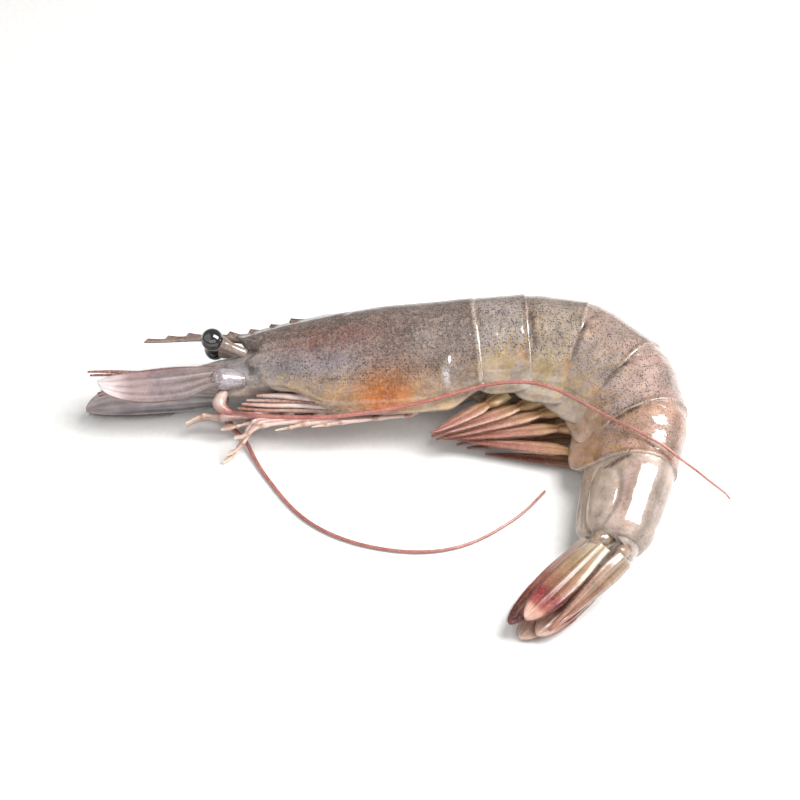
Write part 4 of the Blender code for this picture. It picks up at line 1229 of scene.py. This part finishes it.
def swimmingLeg(side, pair, tip, steps=80, sides=32):
    circle = [unitCircle(k, sides) for k in range(sides)]
    outline, pale = tone(swimmers["outline"]), tone(swimmers["pale"])
    stretch = stretchAxes(pair)
    stem = swimmers["stem"]
    length = bodyPlan["lengths"][pair]
    belly = mix(*bodyPlan["backs"][pair - 1 : pair + 1], 0.5) * bodyPlan["bellyShare"] + 0.5
    out = side * swimmers["outs"][pair - 1]
    root = place(stretch, length * 0.5, out, -belly - 0.9)
    down = place(stretch, length * 0.3, out, -belly - 2.6)
    rows, tints, spine = [], [], []
    for step in range(steps + 1):
        t = step / steps
        spot = root * (1 - t) ** 2 + down * 2 * t * (1 - t) + tip * t * t
        ahead = ((down - root) * (1 - t) + (tip - down) * t).normalized()
        across = ahead.cross(Vector((0, 0, 1))).normalized()
        through = across.cross(ahead).normalized()
        u = max(0.0, (t - stem) / (1 - stem))
        if t < stem:
            half = mix(*swimmers["stemHalf"], t / stem) * (1 - 0.25 * hump(t, stem, 0.05))
            thick = swimmers["stemThick"]
        else:
            half = swimmers["bladeHalf"] * max(0.12, max(0.0, 1 - u**2.2) ** 0.7) * mix(0.7, 1, smooth(u * 4))
            thick = mix(*swimmers["bladeThick"], u)
            spine.append((spot, across, through, half))
        rows.append([spot + across * half * c + through * thick * d * paddleRidge(c) for c, d in circle])
        tints.append([paddlePaint(t, c, pair, outline, pale) for c, _ in circle])
    word = named(str(pair), side)
    node = sideNode("swimming_leg_%d" % pair, side)
    closedLoft("swimmingLeg" + word, rows, tints, 0.35, "paddle", "paddle", node)
    hairs = []
    for sign, seed in ((1, pair), (-1, pair + 9)):
        hairs += edgeHairs(spine, sign, 0.15, 0.98, 40, 1.0, 0.045, seed)
    bristles("swimmingFringe" + word, hairs, swimmers["fringe"], "paddle", node)


def swimmingLegs():
    for side, tips in ((1, swimmers["leftTips"]), (-1, swimmers["rightTips"])):
        for pair, tip in enumerate(tips, 1):
            swimmingLeg(side, pair, fromSocket(tip))


fan = {
    "telsonLength": 21.0, "telsonHalf": 2.3, "lengths": (22.5, 24.6), "halves": (2.9, 3.1), "thickness": 0.6,
    "margin": "#54251a", "fringe": "#a8604c",
    "ribs": ((0.0, 0.12, 0.14), (-0.25, 0.1, -0.08), (0.25, 0.1, -0.08), (0.9, 0.08, 0.05),
             (-0.9, 0.08, 0.05)),
    "telsonRibs": ((-0.42, 0.16, 0.14), (0.42, 0.16, 0.14), (0.0, 0.18, -0.16)),
    # place to the left and up at the root, then at the tip, and the lean of the blade
    "left": {"inner": (3.5, 2.0, 3.1, 1.6, 58), "outer": (3.2, -1.9, 2.9, -1.2, 74)},
    # place outward and height over the table at the root, then at the tip
    "right": {"inner": (1.2, 3.6, 1.6, 2.0), "outer": (-1.2, 2.3, -0.6, 0.75)},
    "roots": (
        ("fanRootLeft", "uropod_outer_left",
         ((-0.6, 2.4, 0.6, 1.5), (1.4, 3.1, 0.3, 1.9), (3.4, 3.3, 0.2, 1.5), (4.6, 3.3, 0.2, 0.6))),
        ("fanRootMiddle", "telson", ((-0.4, 0.4, 3.6, 1.3), (1.4, 0.8, 4.1, 1.35), (3.0, 1.2, 4.2, 0.6))),
    ),
    "rootStops": ((0, "#6e4a30"), (0.35, "#a8917e"), (0.7, "#957864"), (1, "#754c32")),
}
fanLooks = {
    "outer": {
        "stops": ((0, "#c8b8ac"), (0.3, "#b89a90"), (0.5, "#a8605a"), (0.7, "#6e1612"), (0.92, "#520c0a"),
                  (1, "#7a2218")),
        "lines": ((-0.35, 0.06, "#7a4a34", 0.6), (0.0, 0.07, "#d8c3b2", 0.5), (0.3, 0.05, "#7a4a34", 0.5),
                  (0.55, 0.05, "#bf7a34", 0.6)),
    },
    "inner": {
        "stops": ((0, "#b8a88e"), (0.35, "#a48462"), (0.58, "#a06a52"), (0.72, "#8c1c28"), (0.82, "#a84a44"),
                  (0.9, "#f0b8a4"), (1, "#ffd0bc")),
        "lines": ((-0.55, 0.05, "#c07c30", 0.6), (-0.2, 0.06, "#6e4024", 0.65), (0.0, 0.07, "#d0c0b0", 0.55),
                  (0.22, 0.06, "#6e4024", 0.65)),
    },
    "under": {
        # The under blades are painted lighter to lift the shade in the gap beneath the upper blades: painted
        # light
        "stops": ((0, "#b8a498"), (0.45, "#b08a7a"), (0.66, "#a85648"), (0.78, "#e8b4a0"), (1, "#ffdcc8")),
        "lines": ((-0.4, 0.07, "#7a4a34", 0.5), (0.0, 0.08, "#d0c0b0", 0.5), (0.4, 0.07, "#7a4a34", 0.5)),
    },
    "telson": {
        "stops": ((0, "#a9947c"), (0.4, "#9a7458"), (0.75, "#a06a52"), (1, "#b87a64")),
        "lines": ((-0.5, 0.08, "#cdbcae", 0.5), (0.0, 0.1, "#5f3520", 0.75), (0.5, 0.08, "#cdbcae", 0.5)),
    },
}


def fanPaint(word, t, u):
    fade = smooth(t * 10) * (1 - 0.7 * smooth((t - 0.75) / 0.2))
    share = (0.35 if word == "under" else 0.8) * smooth((abs(u) - 0.82) / 0.12) * smooth((t - 0.1) / 0.4)
    share *= 1 - 0.9 * smooth((t - 0.8) / 0.12)
    return drawn(lined(fanLooks[word], t, u, fade, len(word)), fan["margin"], share)


def fanBlade(word, name, root, tip, across, normal, half, sharp, crown, node, steps=72):
    spine = []
    for step in range(steps + 1):
        t = step / steps
        spine.append((mix(root, tip, t), across, normal, half * leafShape(t, 0.68, 0.45, sharp)))
    paint = lambda t, u: fanPaint(word, t, u)
    bladePiece(name, spine, crown, fan["thickness"], paint, fan["ribs"], "tail", (node,))
    hairs = []
    for sign, seed in ((1, 3), (-1, 4)):
        hairs += edgeHairs(spine, sign, 0.6, 0.99, 60, 0.55, 0.04, seed)
    bristles(name + "Fringe", hairs, fan["fringe"], "tail", (node,))


def tailFan(steps=72):
    stretch = stretchAxes(7)
    tailward, leftward, backward = stretch[1:]
    spine = []
    for step in range(steps + 1):
        t = step / steps
        centre = place(stretch, mix(1.7, fan["telsonLength"], t), 0, mix(5.0, 4.7, t))
        half = 1.1 * fan["telsonHalf"] * (1 - 0.9 * t**1.7) * mix(0.85, 1, smooth(t * 5))
        spine.append((centre, leftward, backward, half))
    bladePiece("telsonSpine", spine, 0.3, 0.8, lambda t, u: fanPaint("telson", t, u), fan["telsonRibs"],
               "tail", ("telson",))
    for kind, (label, (out0, up0, out1, up1, leanDegrees)) in enumerate(fan["left"].items()):
        lean = math.radians(leanDegrees)
        across = leftward * math.cos(lean) - backward * math.sin(lean)
        normal = leftward * math.sin(lean) + backward * math.cos(lean)
        root = place(stretch, 2.6, out0, up0)
        tip = place(stretch, fan["lengths"][kind], out1, up1)
        half = fan["halves"][kind] * (1 - 0.1 * kind) * 1.06
        fanBlade(label, label + "BladeLeft", root, tip, across, normal, half, 0.5, 0.12,
                 "uropod_%s_left" % label)
    ahead = Vector((tailward.x, tailward.y, 0)).normalized()
    level = Vector((-ahead.y, ahead.x, 0))
    for kind, (label, (out0, high0, out1, high1)) in enumerate(fan["right"].items()):
        root = beside(stretch, 2.9, out0, high0)
        tip = beside(stretch, fan["lengths"][kind] * 0.97, out1, high1)
        fanBlade("under", label + "BladeRight", root, tip, level, Vector((0, 0, 1)), fan["halves"][kind],
                 0.6, 0.04, "uropod_%s_right" % label)
    for word, node, spots in fan["roots"]:
        line = smoothLine(knotsAt(stretch, spots), 8)
        tubePiece(word, line, 28, fan["rootStops"], "shell", "tail", (node,), flat=1.15)


antennalScales()
swimmingLegs()
tailFan()
print("blades made")


# Floor, light and camera


def addObject(name, data):
    made = bpy.data.objects.new(name, data)
    bpy.context.scene.collection.objects.link(made)
    return made


def layFloor(half=2):
    mesh = bpy.data.meshes.new("floorSheet")
    corners = [(-half, -half, 0), (half, -half, 0), (half, half, 0), (-half, half, 0)]
    mesh.from_pydata(corners, [], [(0, 1, 2, 3)])
    floor = addObject("floorSheet", mesh)
    paper, tree, sockets, spot = newMaterial("paleCardFloor")
    grain = addNode(tree, "TexNoise", {"Scale": 900.0, "Detail": 3.0}, {"Vector": spot})
    colour = addNode(tree, "ValToRGB", {"stops": ((0.3, "#d2d1cf"), (0.7, "#d8d7d5"))}, {0: grain})
    tree.links.new(colour, sockets["Base Color"])
    sockets["Roughness"].default_value = 0.7
    mesh.materials.append(paper)
    floor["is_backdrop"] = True


def lightAndCamera():
    scene = bpy.context.scene
    target = Vector(studio["target"])
    for number, (spot, size, power) in enumerate(studio["lamps"]):
        light = bpy.data.lights.new("softLamp%d" % number, "AREA")
        light.shape = "RECTANGLE"
        light.size, light.size_y = size
        light.energy = power
        lamp = addObject("softLamp%d" % number, light)
        lamp.location = spot
        lamp.rotation_euler = (target - lamp.location).to_track_quat("-Z", "Y").to_euler()
    scene.world = bpy.data.worlds.new("paleRoom")
    scene.world.use_nodes = True
    sky = scene.world.node_tree.nodes["Background"].inputs
    sky["Color"].default_value = (1, 1, 1, 1)
    sky["Strength"].default_value = studio["room"]
    scene.view_settings.view_transform = "Standard"  # plain studio whites, true colours
    data = bpy.data.cameras.new("photoCamera")
    data.lens = studio["lens"]
    data.sensor_width = studio["sensor"]
    data.clip_start = studio["nearest"]
    camera = addObject("photoCamera", data)
    down = math.radians(studio["down"])
    view = Vector((0, math.cos(down), -math.sin(down)))
    camera.location = target - view * studio["distance"]
    camera.rotation_euler = view.to_track_quat("-Z", "Y").to_euler()
    scene.camera = camera


layFloor()
lightAndCamera()
print("stage set")

boxes = {"cad": cadBox, "visual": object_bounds()}
{word: [[float(x) for x in corner] for corner in box] for word, box in boxes.items()}
